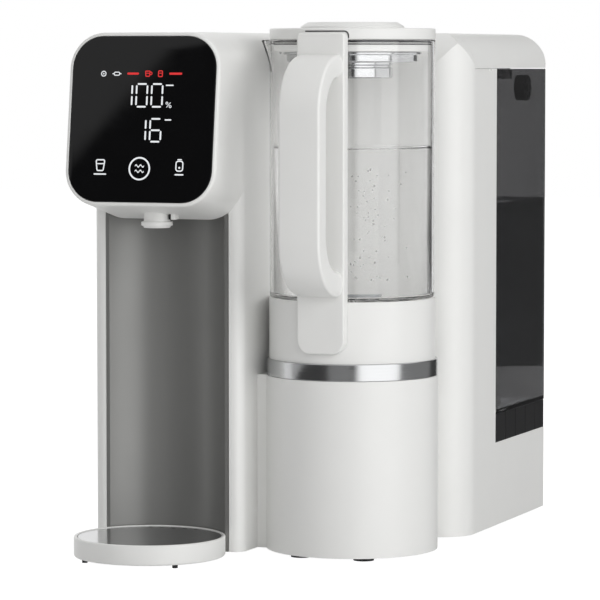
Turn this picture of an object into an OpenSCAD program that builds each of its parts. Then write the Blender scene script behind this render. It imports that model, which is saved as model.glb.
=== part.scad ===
// Countertop reverse osmosis water system: a dispensing column with a touch head,
// a lift-off pitcher on its stand, and a rear block with the raw-water tank and filter.
// Millimetres, +Z up, origin on the counter under the middle of the overall box.

/* [Body] */
// Depth from the column's front face to the back
body_d = 329; // [310:1:360]
// Height of the housings' top above the counter
body_h = 377.5; // [370:0.5:400]
// Width of the dispensing column
column_w = 117; // [114:1:124]
// Depth of the rear block
block_d = 204; // [190:1:220]
// Rounding of the long top edges and of the block's front corner
edge_r = 26; // [10:1:30]
// Rounding of the column's front corners
column_r = 8; // [3:0.5:9]
// Rounding of the upright rear corners
rear_r = 3; // [2:0.5:8]
// Wall of the moulded housings
wall = 2.6; // [2:0.1:3.2]
// Height of the housings' lower edge above the counter
foot_h = 3; // [2:0.5:5]
// Thickness of the base plate
base_t = 3; // [2:0.5:4]
// Diameter of a rubber foot
foot_d = 15; // [10:1:18]

/* [Dispensing bay] */
// Radius of the round bay, measured from the drip tray's centre
bay_r = 55.6; // [55.2:0.2:58]
// Height of the head's underside
bay_z = 243; // [220:1:250]
// Wall of the bay's dark liner
liner_t = 2.2; // [1.5:0.1:2.5]

/* [Head] */
// Reach of the head ahead of the column at its lower front edge
head_reach = 51; // [40:1:60]
// Rise of the head's underside from the column to its front edge
head_rise = 11; // [4:1:18]
// Backward lean of the head's front, degrees
head_lean = 7; // [2:0.5:10]
// Rounding of the head's corners seen from the front
head_r = 26; // [18:1:30]
// Rounding of the head's front edge
head_edge = 2.3; // [1.5:0.1:2.3]
// White rim left round the display glass
glass_rim = 3; // [2.9:0.1:4]
// Thickness of the display glass
glass_t = 2; // [1:0.1:2.4]
// Distance of the nozzle ahead of the column
nozzle_ahead = 17; // [15:0.5:24]
// Diameter of the nozzle's neck
nozzle_d = 19; // [15:0.5:22]
// Diameter of the nozzle's lower flange
flange_d = 22.7; // [20:0.1:26]
// Height of the nozzle's lower flange
flange_h = 4.5; // [3:0.5:6]
// Height of the nozzle's mouth above the counter
mouth_z = 237.5; // [228:0.5:239]

/* [Drip tray] */
// Radius of the round drip tray
tray_r = 54.5; // [50:0.5:55]
// Distance of the tray's centre ahead of the column
tray_centre = 32; // [30:0.5:36]
// Height of the tray's rim above the counter
tray_h = 17; // [14:0.5:22]
// Height of the tray's small feet
tray_foot_h = 2.5; // [1.5:0.5:4]
// Thickness of the tray's small feet
tray_foot_d = 4; // [3:0.5:8]
// Width of the tray's rim
tray_rim = 2.6; // [2:0.1:4]
// Thickness of the steel plate in the tray
plate_t = 1.5; // [1:0.1:2]

/* [Pitcher stand] */
// Radius of the round stand
stand_r = 62.5; // [62:0.1:64]
// Height of the stand's deck
stand_h = 129.6; // [120:0.1:140]
// Clear gap between the round stand and the rear block
stand_clear = 5.1; // [3:0.1:9]
// Gap between the column's side and the round stand
stand_gap = 1; // [0.6:0.1:3]
// Distance of the web between column and stand behind the column's front face
web_back = 30; // [20:1:40]
// Height of the brushed steel ring
ring_h = 12.4; // [8:0.1:16]
// Wall of the steel ring
ring_t = 3; // [2.5:0.1:3.2]

/* [Pitcher] */
// Radius of the clear vessel
vessel_r = 60; // [59:0.1:60.2]
// Wall of the clear vessel
vessel_t = 2.5; // [2:0.1:3.5]
// Height of the white collar
collar_h = 44; // [38:1:52]
// Drop of the vessel's rim below the body's top
rim_drop = 5.5; // [2:0.5:12]
// Thickness of the lid's rim
lid_t = 8; // [6:0.5:9]
// Radius of the raised cap on the lid
cap_r = 37.6; // [30:0.2:42]
// Height of the raised cap
cap_h = 4.5; // [3:0.5:6]
// Width of the handle's back plate
handle_plate_w = 36; // [32:1:40]
// Width of the grip
grip_w = 31; // [26:1:32]
// Depth of the grip's bar
grip_t = 15; // [12:0.5:17]
// Reach of the grip's front ahead of the vessel
grip_reach = 48; // [44:1:52]
// Height of the grip's lower end above the counter
grip_z = 191; // [184:1:200]

/* [Tank] */
// Width of the raw-water tank
tank_w = 140; // [120:1:145]
// Depth of the machine room in front of the tank
room_d = 78; // [76:1:94]
// Height of the tank bay's floor above the counter
bay_floor = 66.5; // [62:0.5:72]
// Height of the ribbed skirt under the tank
skirt_h = 21.5; // [20:0.5:26]
// Wall of the tank
tank_t = 2.5; // [2:0.1:3.5]
// Height of the top lids
lid_h = 26.5; // [25.5:0.5:31.5]
// Depth of the fixed top in front of the lids
crown_d = 25; // [24:1:34]
// Diameter of the hinge pin
pin_d = 2.2; // [1.6:0.1:2.6]
// Diameter of the spoked tank knob
knob_d = 20; // [16:1:24]

/* [Filter] */
// Clear width at each side of the filter cartridge
filter_side = 9.3; // [8:0.1:16]
// Clear height from the filter cartridge's grip to the seam under the lids
filter_room = 19; // [13:1:51]
// Side of the filter's manifold
manifold_w = 60; // [50:1:64]
// Height of the filter's manifold
manifold_h = 64; // [56:1:66]

/* [Pump and hoses] */
// Diameter of the pump motor
motor_d = 40; // [34:1:44]
// Length of the pump motor
motor_l = 58; // [50:1:62]
// Side of the square pump head
pump_w = 46; // [44:1:48]
// Diameter of the motor's shaft
shaft_d = 5; // [4:0.5:6]
// Outer diameter of the hoses
hose_d = 6.4; // [5:0.2:8]

/* [Fits] */
// Clearance between pieces that lift or slide past each other
gap = 0.4; // [0.3:0.05:0.6]
// Clearance round a seated piece
seat_gap = 0.3; // [0.2:0.05:0.5]
// Radial clearance of pins and shafts in their bores
run_gap = 0.05; // [0.03:0.01:0.08]

/* [Hidden] */
$fn = 64;
eps = 1;

// Outline of the body on the counter
body_w = column_w + stand_gap + 2 * stand_r;
x_left = -body_w / 2;
x_right = body_w / 2;
y_back = (body_d + tray_centre + tray_r) / 2;
y_front = y_back - body_d;
block_y = y_back - block_d;
column_x = x_left + column_w / 2;
column_right = x_left + column_w;
base_z = foot_h + base_t;
lid_z = body_h - lid_h;
vessel_z = body_h - rim_drop;
tray_y = y_front - tray_centre;
stand_x = x_right - stand_r;
stand_y = block_y - stand_clear - stand_r;

// Tank bay and top lids
tank_x0 = x_right - tank_w;
tank_d = block_d - room_d;
tank_y0 = y_back - tank_d;
bay_x = tank_x0 - gap;
bay_y = tank_y0 - gap;
lid_y0 = block_y + crown_d;
lid_wall = 2.4;
tank_floor = bay_floor + skirt_h;
tank_top = lid_z - gap;
valve_x = (tank_x0 + x_right) / 2;
valve_y = (tank_y0 + y_back) / 2;
hinge_in = 3;
hinge_r = hinge_in - 0.4;
hinge_y = y_back - hinge_in;
hinge_z = lid_z + seat_gap + hinge_in;
knuckle_w = 14;
barrel_x0 = tank_x0 + 30;
barrel_x1 = x_right - 30;
knob_stem_d = 6;
rear_clear = 10;
skirt_in = 0.3;
skirt_t = 2.2;
skirt_lines = 4;
skirt_line_w = 0.8;
skirt_line_t = 0.6;
valve_hole_d = 26;
valve_guide_h = 14;
guide_d = 20;
dock_neck_d = 24;
dock_tail = 10;
tank_pin_z = tank_floor - valve_guide_h + 1.5;
groove_t = 1.4;
groove_h = 2;
knob_y = tank_y0 + 82;
knob_z = lid_z - 15;
groove_back = 157;
groove_l = 33.5;

// Rear cover and filter well
cover_t = 2;
cover_lap = 10;
vent_count = 10;
vent_pitch = 12;
vent_h = 3;
inlet_w = 26;
inlet_h = 20;
inlet_l = 18;
back_in = y_back - wall - cover_t;
cover_margin = 8;
cover_x0 = x_left + rear_clear + cover_margin;
cover_x1 = bay_x - wall - cover_margin;
cover_z0 = foot_h + 24;
cover_z1 = lid_z - 24;
inlet_z = cover_z0 + cover_lap + 6;
vent_z = inlet_z + inlet_h + 60;
filter_x = (x_left + bay_x) / 2;
filter_d = bay_x - x_left - 2 * filter_side;
filter_y = back_in - filter_d / 2 - 7;
filter_z = base_z + manifold_h;
filter_h = lid_z - filter_z - filter_room;
filter_neck_d = 44;
socket_h = 24;
grip_bar_h = 16;
well_d = filter_d + 6;

// Passages between the rear block, the column and the stand
column_pass_w = 84;
column_pass_z = 250;
stand_pass_w = 56;
stand_pass_z = 108;
web_x1 = stand_x + 34;

// Pitcher and its dock
pitcher_z = stand_h + ring_h;
ring_in = stand_r - 0.3 - ring_t;
dock_z = pitcher_z - 4;
dock_pin_z = dock_z + 10;
dock_pin_d = 4;
dock_hole_d = 34;
dock_port_z = stand_h - 26;
pure_port_in = 8;
pure_port_x = stand_x + pure_port_in;
collar_r = vessel_r + 0.3;
vessel_floor = pitcher_z + collar_h;
stem_d = 6;
poppet_d = 32;
poppet_t = 3;
spigot_h = 3;
collar_t = 2.5;
guide_h = 26;
plate_d = 5;
grip_foot = 17;
lip_angle = 215;
lip_in = 4;
lip_r = 12;
lip_h = 24;
lid_top = vessel_z + seat_gap + lid_t;
strainer_z1 = vessel_z - 8.5;
gasket_z = vessel_z - 3.6;
gasket_h = 2.6;
band_r = 50;
band_h = 7.5;
cup_r = 29;
cup_h = 11.5;

// Head, bay and nozzle
face_h = (body_h - bay_z - head_rise) / cos(head_lean);
bay_top = bay_z + wall + liner_t;
shy = 0.05;
skin = 0.3;
window_w = 78;
window_h = 70;
window_y = 26;
board_w = 94;
board_t = 1.6;
spacer_h = 3;
flange_x = column_w / 2 - column_r - gap;
nozzle_y = y_front - nozzle_ahead;
uv_w = 40;
uv_l = 32;
uv_h = 26;
uv_z = bay_z + head_rise + wall + 3;
outlet_z = uv_z + uv_h / 2;
cable_d = 10;
cable_z = outlet_z + 30;
latch_x = column_x + flange_d / 2 + 0.8;
latch_w = 3.6;
latch_l = 8;

// Drip tray
plate_z = tray_h - plate_t - 0.6;
ledge_w = 3;
tongue_w = 28;
tongue_l = 6;
tongue_t = 3;
drain_pitch = 9;

// Feet under the base plate
foot_places = [
    [x_left + 20, y_front + 52],
    [x_left + 20, y_back - 26],
    [x_right - 20, y_back - 26],
    [x_right - 22, block_y + edge_r + 26],
    [stand_x - 24, stand_y - stand_r + 22],
    [stand_x + 24, stand_y - stand_r + 22]
];

// Pump, valve and hose places inside the rear block
inside_y = block_y + wall;
pump_y = (inside_y + bay_y - wall) / 2;
pump_z = base_z + pump_w / 2 + 4;
pump_x1 = x_right - wall - 14;
pump_l = 32;
motor_x1 = pump_x1 - pump_l;
motor_x0 = motor_x1 - motor_l;
port_x = pump_x1 - pump_l / 2;
hose_y = inside_y + hose_d / 2 + 2.6;
pure_y = pump_y - pump_w / 2 - 1;
pure_z = base_z + 46;
solenoid_w = 24;
solenoid_l = 32;
solenoid_h = 38;
solenoid_y = pump_y + 12;
solenoid_z = pump_z;
cross_z = base_z + 74;
plunger_d = 8;
supply_w = 92;
supply_d = 42;
supply_h = 60;
supply_z = base_z + 100;
control_w = 100;
control_h = 84;
control_z = supply_z + supply_h + 20;
sensor_d = 11;
sensor_l = 20;
pure_x = filter_x + manifold_w / 2 + sensor_l + 8;

// Screws
screw_d = 3;
screw_head_d = 5.6;
screw_head_h = 1.6;
post_d = 9;
post_h = 26;
post_in = post_d / 2 - 0.8;
block_posts = [
    for (x = [x_left + wall + post_in, x_right - wall - post_in])
        for (y = [block_y + edge_r + 8, back_in - rear_clear - 6])
            [x, y]
];
column_posts = [
    for (x = [x_left + wall + post_in, column_right - wall - post_in])
        [x, y_front + web_back + 18]
];
stand_posts = [
    for (a = [-60, -120])
        [stand_x + (stand_r - wall - post_in) * cos(a), stand_y + (stand_r - wall - post_in) * sin(a)]
];
cover_screws = [
    for (x = [cover_x0 + 5, cover_x1 - 5])
        for (z = [cover_z0 + 5, (cover_z0 + cover_z1) / 2, cover_z1 - 5])
            [x, z]
];

// A square corner outside a circle of radius r, to be taken off a rectangle's corner
module corner_cut(r) {
    if (r > 0) difference() {
        translate([-eps, -eps]) square(r + eps);
        translate([r, r]) circle(r);
    }
}

// Rectangle with rounded corners, the radii in turn from the low corner anticlockwise
module soft_rect(x0, y0, x1, y1, r) {
    difference() {
        translate([x0, y0]) square([x1 - x0, y1 - y0]);
        translate([x0, y0]) corner_cut(r[0]);
        translate([x1, y0]) mirror([1, 0]) corner_cut(r[1]);
        translate([x1, y1]) rotate(180) corner_cut(r[2]);
        translate([x0, y1]) mirror([0, 1]) corner_cut(r[3]);
    }
}

// Box between two corner points
module span(low, high) {
    translate(low) cube(high - low);
}

// Stretch of a flat outline drawn in X and Z, from y0 to y1
module along_y(y0, y1) {
    translate([0, y1, 0]) rotate([90, 0, 0]) linear_extrude(y1 - y0) children();
}

// Stretch of a flat outline drawn in Y and Z, from x0 to x1
module along_x(x0, x1) {
    translate([x0, 0, 0]) rotate([90, 0, 90]) linear_extrude(x1 - x0) children();
}

// Round bar from a to b along one axis
module bar_x(x0, x1, y, z, d) {
    translate([x0, y, z]) rotate([0, 90, 0]) cylinder(d = d, h = x1 - x0);
}

module bar_y(y0, y1, x, z, d) {
    translate([x, y0, z]) rotate([-90, 0, 0]) cylinder(d = d, h = y1 - y0);
}

module bar_z(z0, z1, x, y, d) {
    translate([x, y, z0]) cylinder(d = d, h = z1 - z0);
}

// Radius of the rear corners on a wall drawn in by s
function rear_inner(s) = max(rear_r - s, 0.5);

// Rear block drawn in by s on every side, from the height z0 up
module block_solid(s, z0) {
    r_edge = edge_r - s;
    r_rear = rear_inner(s);
    difference() {
        intersection() {
            translate([0, 0, z0])
                linear_extrude(body_h)
                    soft_rect(x_left + s, block_y + s, x_right - s, y_back - s, [0, r_edge, r_rear, r_rear]);
            along_y(block_y, y_back)
                soft_rect(x_left + s, z0, x_right - s, body_h - s, [0, 0, r_edge, r_edge]);
        }
        along_x(column_right, x_right + eps)
            translate([block_y + s, body_h - s]) mirror([0, 1]) corner_cut(r_edge);
    }
}

// Column drawn in by s on every side, from the height z0 up
module column_solid(s, z0, y1) {
    intersection() {
        translate([0, 0, z0])
            linear_extrude(body_h)
                soft_rect(x_left + s, y_front + s, column_right - s, y1, [column_r - s, column_r - s, 0, 0]);
        along_y(y_front, y1)
            soft_rect(x_left + s, z0, column_right - s, body_h - s, [0, 0, edge_r - s, edge_r - s]);
    }
}

// Stand and the web behind it, drawn in by s on every side
module stand_solid(s, z0, z1) {
    translate([stand_x, stand_y, z0]) cylinder(r = stand_r - s, h = z1 - z0);
    span([column_right + s, y_front + web_back + s, z0], [web_x1 - s, block_y - s, z1]);
}

// Screw posts standing on the base plate, and their bores
module posts(places) {
    for (p = places) bar_z(base_z, base_z + post_h, p[0], p[1], post_d);
}

module post_bores(places) {
    for (p = places) bar_z(base_z - eps, base_z + post_h - 4, p[0], p[1], screw_d + 2 * run_gap);
}

// Shoulder that carries the head's outline back over the column's rounded front edges
module head_shoulder() {
    along_y(y_front + shy, y_front + column_r)
        translate([column_x, 0])
            soft_rect(shy - column_w / 2, bay_z + shy, column_w / 2 - shy, body_h - shy,
                [head_r, head_r, edge_r, edge_r]);
}

// Left column: shell open below and behind, with the round bay cut into its front
module column_housing() {
    color("whitesmoke") difference() {
        union() {
            difference() {
                column_solid(0, foot_h, block_y);
                column_solid(wall, foot_h - eps, block_y + eps);
            }
            difference() {
                head_shoulder();
                column_solid(wall, foot_h - eps, block_y + eps);
            }
            posts(column_posts);
        }
        bar_z(foot_h - eps, bay_top, column_x, tray_y, 2 * (bay_r + liner_t + gap));
        post_bores(column_posts);
        bar_y(y_front - eps, y_front + wall + eps, column_x, outlet_z, hose_d + 2 * gap);
        bar_y(y_front - eps, y_front + wall + eps, column_x, cable_z, cable_d);
        bar_x(column_right - wall - eps, column_right + eps, stand_y, cross_z, hose_d + 2 * gap);
    }
}

// Dark concave lining of the bay, with flanges behind the column's front wall
module bay_liner() {
    outer_r = bay_r + liner_t;
    color("dimgray") difference() {
        union() {
            bar_z(foot_h, bay_top - gap, column_x, tray_y, 2 * outer_r);
            span([column_x - flange_x, y_front + wall, foot_h + liner_t],
                 [column_x + flange_x, y_front + wall + liner_t, bay_top - gap]);
        }
        bar_z(foot_h - eps, bay_top - gap - liner_t, column_x, tray_y, 2 * bay_r);
        span([column_x - outer_r - eps, tray_y - outer_r - eps, 0],
             [column_x + outer_r + eps, y_front, bay_top]);
        span([column_x - tongue_w / 2 - gap, tray_y + bay_r - tongue_l, base_z],
             [column_x + tongue_w / 2 + gap, tray_y + outer_r + eps, base_z + tongue_t + 2 * seat_gap]);
    }
}

// Outer walls of the rear block, up to the seam under the lids
module rear_housing() {
    color("whitesmoke") difference() {
        union() {
            difference() {
                block_solid(0, foot_h);
                difference() {
                    block_solid(wall, foot_h - eps);
                    span([x_left, back_in, 0], [x_right, y_back, body_h]);
                }
            }
            posts(block_posts);
        }
        span([x_left - eps, block_y - eps, lid_z], [x_right + eps, y_back + eps, body_h + eps]);
        span([bay_x, bay_y, bay_floor], [x_right + eps, y_back + eps, body_h]);
        span([column_x - column_pass_w / 2, block_y - eps, foot_h - eps],
             [column_x + column_pass_w / 2, inside_y + eps, column_pass_z]);
        span([stand_x - stand_pass_w / 2, block_y - eps, foot_h - eps],
             [stand_x + stand_pass_w / 2, inside_y + eps, stand_pass_z]);
        span([cover_x0, y_back - cover_t, cover_z0], [cover_x1, y_back + eps, cover_z1]);
        span([cover_x0 + cover_lap, back_in - eps, cover_z0 + cover_lap],
             [cover_x1 - cover_lap, y_back, cover_z1 - cover_lap]);
        for (s = cover_screws) bar_y(back_in - eps, y_back, s[0], s[1], screw_d + 2 * run_gap);
        span([x_right - groove_t, y_front + groove_back, lid_z - groove_h],
             [x_right + eps, y_front + groove_back + groove_l, lid_z + eps]);
        post_bores(block_posts);
    }
}

// Upper front of the rear block, in front of the lids, standing on the outer walls
module front_crown() {
    color("whitesmoke") difference() {
        intersection() {
            block_solid(0, foot_h);
            span([x_left - eps, block_y - eps, lid_z], [x_right + eps, lid_y0, body_h + eps]);
        }
        intersection() {
            block_solid(wall, foot_h);
            span([x_left, block_y, lid_z - eps], [x_right, lid_y0 - wall, body_h]);
        }
    }
}

// Tub that the tank stands in, between the outer walls
module tank_bay() {
    color("dimgray") difference() {
        intersection() {
            span([bay_x - wall, bay_y - wall, bay_floor - wall], [x_right, back_in - gap, lid_z - wall]);
            block_solid(wall + gap, foot_h);
        }
        span([bay_x, bay_y, bay_floor], [x_right + eps, y_back + eps, lid_z]);
        bar_z(bay_floor - wall - eps, bay_floor + eps, valve_x, valve_y, dock_neck_d + 2 * seat_gap);
    }
}

// Deck under the lids, resting on the tub, with the round mouth of the filter well
module lid_deck() {
    color("whitesmoke") difference() {
        intersection() {
            span([x_left, lid_y0 - wall, lid_z - wall], [x_right, back_in - gap, lid_z]);
            block_solid(wall + gap, foot_h);
        }
        span([bay_x, bay_y, bay_floor], [x_right + eps, y_back + eps, body_h]);
        bar_z(lid_z - wall - eps, lid_z + eps, filter_x, filter_y, well_d);
    }
}

// Round stand under the pitcher, with the web that joins it to the block
module pitcher_stand() {
    color("whitesmoke") difference() {
        union() {
            difference() {
                stand_solid(0, foot_h, stand_h);
                stand_solid(wall, foot_h - eps, stand_h - wall);
            }
            intersection() {
                posts(stand_posts);
                bar_z(0, stand_h, stand_x, stand_y, 2 * stand_r - wall);
            }
        }
        bar_z(stand_h - wall - eps, stand_h + eps, stand_x, stand_y, dock_hole_d);
        span([stand_x - stand_pass_w / 2, block_y - wall - eps, foot_h - eps],
             [stand_x + stand_pass_w / 2, block_y + eps, stand_pass_z]);
        bar_x(column_right - eps, column_right + stand_gap + 2 * wall + eps, stand_y, cross_z,
            hose_d + 2 * gap);
        post_bores(stand_posts);
    }
}

// Brushed steel ring on top of the stand
module trim_ring() {
    color("silver") difference() {
        bar_z(stand_h, pitcher_z, stand_x, stand_y, 2 * (ring_in + ring_t));
        bar_z(stand_h - eps, pitcher_z + eps, stand_x, stand_y, 2 * ring_in);
    }
}

// Dock plate inside the ring, with the water spigot below and the pin that opens the pitcher
module dock_seat() {
    color("gray") difference() {
        union() {
            bar_z(stand_h, dock_z, stand_x, stand_y, 2 * (ring_in - gap));
            bar_z(dock_port_z, stand_h, stand_x, stand_y, dock_hole_d - 2 * seat_gap);
            bar_z(dock_z, dock_pin_z, stand_x, stand_y, dock_pin_d);
        }
        for (a = [45 : 90 : 315])
            translate([stand_x, stand_y, 0]) rotate(a)
                bar_z(dock_port_z + 8, dock_z + eps, dock_hole_d / 4, 0, 5);
    }
}

// Flat plate that closes the bottom of column, stand and block
module base_plate() {
    inset = wall + gap;
    color("lightgray") difference() {
        translate([0, 0, foot_h]) linear_extrude(base_t) {
            soft_rect(x_left + inset, y_front + inset, column_right - inset, block_y,
                [column_r - inset, column_r - inset, 0, 0]);
            soft_rect(x_left + inset, block_y + inset, x_right - inset, back_in - gap,
                [0, edge_r - inset, rear_inner(inset), rear_inner(inset)]);
            translate([stand_x, stand_y]) circle(stand_r - inset);
            for (p = [[column_x, column_pass_w], [stand_x, stand_pass_w]])
                translate([p[0] - p[1] / 2 + gap, stand_y]) square([p[1] - 2 * gap, block_d]);
        }
        bar_z(0, base_z + eps, column_x, tray_y, 2 * (bay_r + liner_t + gap));
        span([column_x - flange_x - gap, y_front, 0],
             [column_x + flange_x + gap, y_front + wall + liner_t + gap, base_z + eps]);
        for (p = concat(block_posts, column_posts, stand_posts)) {
            bar_z(0, base_z + eps, p[0], p[1], screw_d + 2 * run_gap);
            bar_z(0, foot_h + screw_head_h, p[0], p[1], screw_head_d + 2 * gap);
        }
    }
}

// Rubber feet under the base plate
module rubber_feet() {
    color("black") for (p = foot_places) bar_z(0, foot_h, p[0], p[1], foot_d);
}

// Screws through the base plate into the posts, and through the rear cover
module case_screws() {
    color("silver") {
        for (p = concat(block_posts, column_posts, stand_posts)) {
            bar_z(foot_h + 0.2, foot_h + screw_head_h, p[0], p[1], screw_head_d);
            bar_z(foot_h + 0.2, base_z + 14, p[0], p[1], screw_d);
        }
        for (s = cover_screws) {
            bar_y(y_back - screw_head_h + 0.6, y_back, s[0], s[1], screw_head_d);
            bar_y(back_in + 0.4, y_back, s[0], s[1], screw_d);
        }
    }
}

// Flush cover in the back of the block, with cooling slots and the inlet's hole
module rear_cover() {
    color("gainsboro") difference() {
        span([cover_x0 + seat_gap, y_back - cover_t, cover_z0 + seat_gap],
             [cover_x1 - seat_gap, y_back, cover_z1 - seat_gap]);
        for (i = [0 : vent_count - 1])
            along_y(y_back - cover_t - eps, y_back + eps)
                soft_rect(cover_x0 + 16, vent_z + i * vent_pitch,
                    cover_x1 - 16, vent_z + i * vent_pitch + vent_h,
                    [1, 1, 1, 1]);
        for (s = cover_screws) {
            bar_y(y_back - cover_t - eps, y_back + eps, s[0], s[1], screw_d + 2 * run_gap);
            bar_y(y_back - screw_head_h + 0.6, y_back + eps, s[0], s[1], screw_head_d + 2 * gap);
        }
        span([filter_x - inlet_w / 2 - seat_gap, y_back - cover_t - eps, inlet_z - seat_gap],
             [filter_x + inlet_w / 2 + seat_gap, y_back + eps, inlet_z + inlet_h + seat_gap]);
    }
}

// Two-pin mains inlet in the rear cover
module power_inlet() {
    color("black") difference() {
        union() {
            span([filter_x - inlet_w / 2, y_back - inlet_l, inlet_z],
                 [filter_x + inlet_w / 2, y_back, inlet_z + inlet_h]);
            span([filter_x - inlet_w / 2 - 3, y_back - cover_t - 2, inlet_z - 3],
                 [filter_x + inlet_w / 2 + 3, y_back - cover_t, inlet_z + inlet_h + 3]);
        }
        along_y(y_back - inlet_l + 2, y_back + eps)
            soft_rect(filter_x - inlet_w / 2 + 2, inlet_z + 2,
                filter_x + inlet_w / 2 - 2, inlet_z + inlet_h - 2,
                [4, 4, 4, 4]);
    }
}

// Frame of the leaning head front: X across, Y up the face, Z out of it
module head_front() {
    translate([column_x, y_front - head_reach, bay_z + head_rise])
        rotate([90 - head_lean, 0, 0])
            children();
}

// Outline of the head's front, drawn in by s
module front_outline(s) {
    r = max(head_r - s, 1);
    soft_rect(s - column_w / 2, s, column_w / 2 - s, face_h - s, [r, r, r, r]);
}

// Head's full form drawn in by s, from the face's depth front back to y1, its edge rounded over
module head_form(s, front, edges, y1) {
    hull() {
        along_y(y_front - skin, y1)
            translate([column_x, 0])
                soft_rect(s - column_w / 2, bay_z + s, column_w / 2 - s, body_h - s,
                    [head_r - s, head_r - s, edge_r - s, edge_r - s]);
        for (a = edges)
            head_front()
                translate([0, 0, -front - head_edge * (1 - sin(a)) - skin])
                    linear_extrude(skin)
                        front_outline(s + head_edge * (1 - cos(a)));
    }
}

// Head in front of the column, open at its back, with the display's recess and window
module head_shell() {
    color("whitesmoke") difference() {
        head_form(0, 0, [0, 45, 90], y_front, $fn = 32);
        head_form(wall, glass_t + wall, [90], y_front + eps, $fn = 32);
        head_front()
            translate([0, 0, -glass_t]) linear_extrude(glass_t + eps) front_outline(glass_rim - seat_gap);
        head_front()
            translate([-window_w / 2, window_y, -glass_t - 3 * wall]) cube([window_w, window_h, 4 * wall]);
        bar_z(bay_z - eps, uv_z, column_x, nozzle_y, nozzle_d + 2 * seat_gap);
        span([latch_x - seat_gap, nozzle_y - latch_l / 2 - seat_gap, bay_z - eps],
             [latch_x + latch_w + seat_gap, nozzle_y + latch_l / 2 + seat_gap, uv_z]);
    }
}

// Black touch glass over the whole front of the head
module display_glass() {
    color("black") head_front()
        translate([0, 0, -glass_t]) linear_extrude(glass_t) front_outline(glass_rim);
}

// Display board: circuit board, its light block behind the glass, and four spacers
module display_board() {
    board_z = -glass_t - wall - spacer_h;
    color("green") head_front() {
        translate([-board_w / 2, window_y - 9, board_z - board_t]) cube([board_w, window_h + 18, board_t]);
        translate([1 - window_w / 2, window_y + 1, board_z])
            cube([window_w - 2, window_h - 2, spacer_h + wall - 0.2]);
        for (x = [4 - board_w / 2, board_w / 2 - 4])
            for (y = [window_y - 5, window_y + window_h + 5])
                translate([x, y, board_z]) cylinder(d = 6, h = spacer_h);
    }
}

// Ultraviolet chamber above the nozzle, seated on the column's front wall
module uv_module() {
    color("silver") difference() {
        span([column_x - uv_w / 2, y_front - uv_l, uv_z], [column_x + uv_w / 2, y_front, uv_z + uv_h]);
        bar_y(y_front - uv_l + 4, y_front - 6, column_x, outlet_z, uv_h - 8);
    }
}

// Dispensing nozzle: neck, lower flange and mouth
module nozzle() {
    color("whitesmoke") difference() {
        union() {
            bar_z(mouth_z, uv_z, column_x, nozzle_y, nozzle_d);
            bar_z(mouth_z, mouth_z + flange_h, column_x, nozzle_y, flange_d);
        }
        bar_z(mouth_z - eps, uv_z + eps, column_x, nozzle_y, 7);
        bar_z(mouth_z - eps, mouth_z + 5, column_x, nozzle_y, nozzle_d - 5);
    }
}

// Small latch beside the nozzle that holds it up
module nozzle_latch() {
    color("whitesmoke")
        span([latch_x, nozzle_y - latch_l / 2, mouth_z + flange_h + 1.5],
             [latch_x + latch_w, nozzle_y + latch_l / 2, uv_z]);
}

// Round drip tray with a rim, a ledge for its plate, an open basin and a tongue behind
module drip_tray() {
    rim_in = tray_r - tray_rim;
    color("whitesmoke") translate([column_x, tray_y, 0]) difference() {
        union() {
            translate([0, 0, tray_foot_h]) cylinder(r = tray_r, h = tray_h - tray_foot_h);
            span([-tongue_w / 2, tray_r - ledge_w, base_z + seat_gap],
                 [tongue_w / 2, bay_r + liner_t + tongue_l, base_z + seat_gap + tongue_t]);
        }
        translate([0, 0, plate_z]) cylinder(r = rim_in, h = tray_h);
        translate([0, 0, tray_foot_h + 2]) cylinder(r = rim_in - ledge_w, h = tray_h);
    }
}

// Small feet under the drip tray
module tray_feet() {
    color("dimgray") for (a = [45 : 90 : 315])
        translate([column_x, tray_y, 0]) rotate(a) bar_z(0, tray_foot_h, tray_r - 5, 0, tray_foot_d);
}

// Polished steel plate that the glass stands on, with a drain hole row
module tray_plate() {
    color("silver") translate([column_x, tray_y, plate_z]) difference() {
        cylinder(r = tray_r - tray_rim - gap, h = plate_t);
        for (i = [-2 : 2])
            translate([i * drain_pitch, tray_r - tray_rim - 9, -eps])
                cylinder(d = 3.2, h = plate_t + 2 * eps);
    }
}

// Clear vessel of the pitcher, with its valve hole and its pouring lip
module pitcher_vessel() {
    color("lightblue", 0.4) translate([stand_x, stand_y, 0]) difference() {
        union() {
            bar_z(vessel_floor, vessel_z + eps, 0, 0, 2 * vessel_r);
            rotate(lip_angle) lip(0);
        }
        bar_z(vessel_floor + vessel_t, vessel_z + 2 * eps, 0, 0, 2 * (vessel_r - vessel_t));
        rotate(lip_angle) lip(vessel_t);
        bar_z(vessel_floor - eps, vessel_floor + vessel_t + eps, 0, 0, valve_hole_d);
        bar_z(vessel_z, vessel_z + 3 * eps, 0, 0, 4 * vessel_r);
    }
}

// Pouring lip: a cone that opens upwards out of the wall, drawn in by s for its channel
module lip(s) {
    rise = lip_h - 2 * s;
    full = rise + 2 * eps;
    translate([vessel_r - lip_in, 0, vessel_z - rise])
        cylinder(r1 = 1, r2 = 1 + (lip_r - s - 1) * full / rise, h = full);
}

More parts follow.
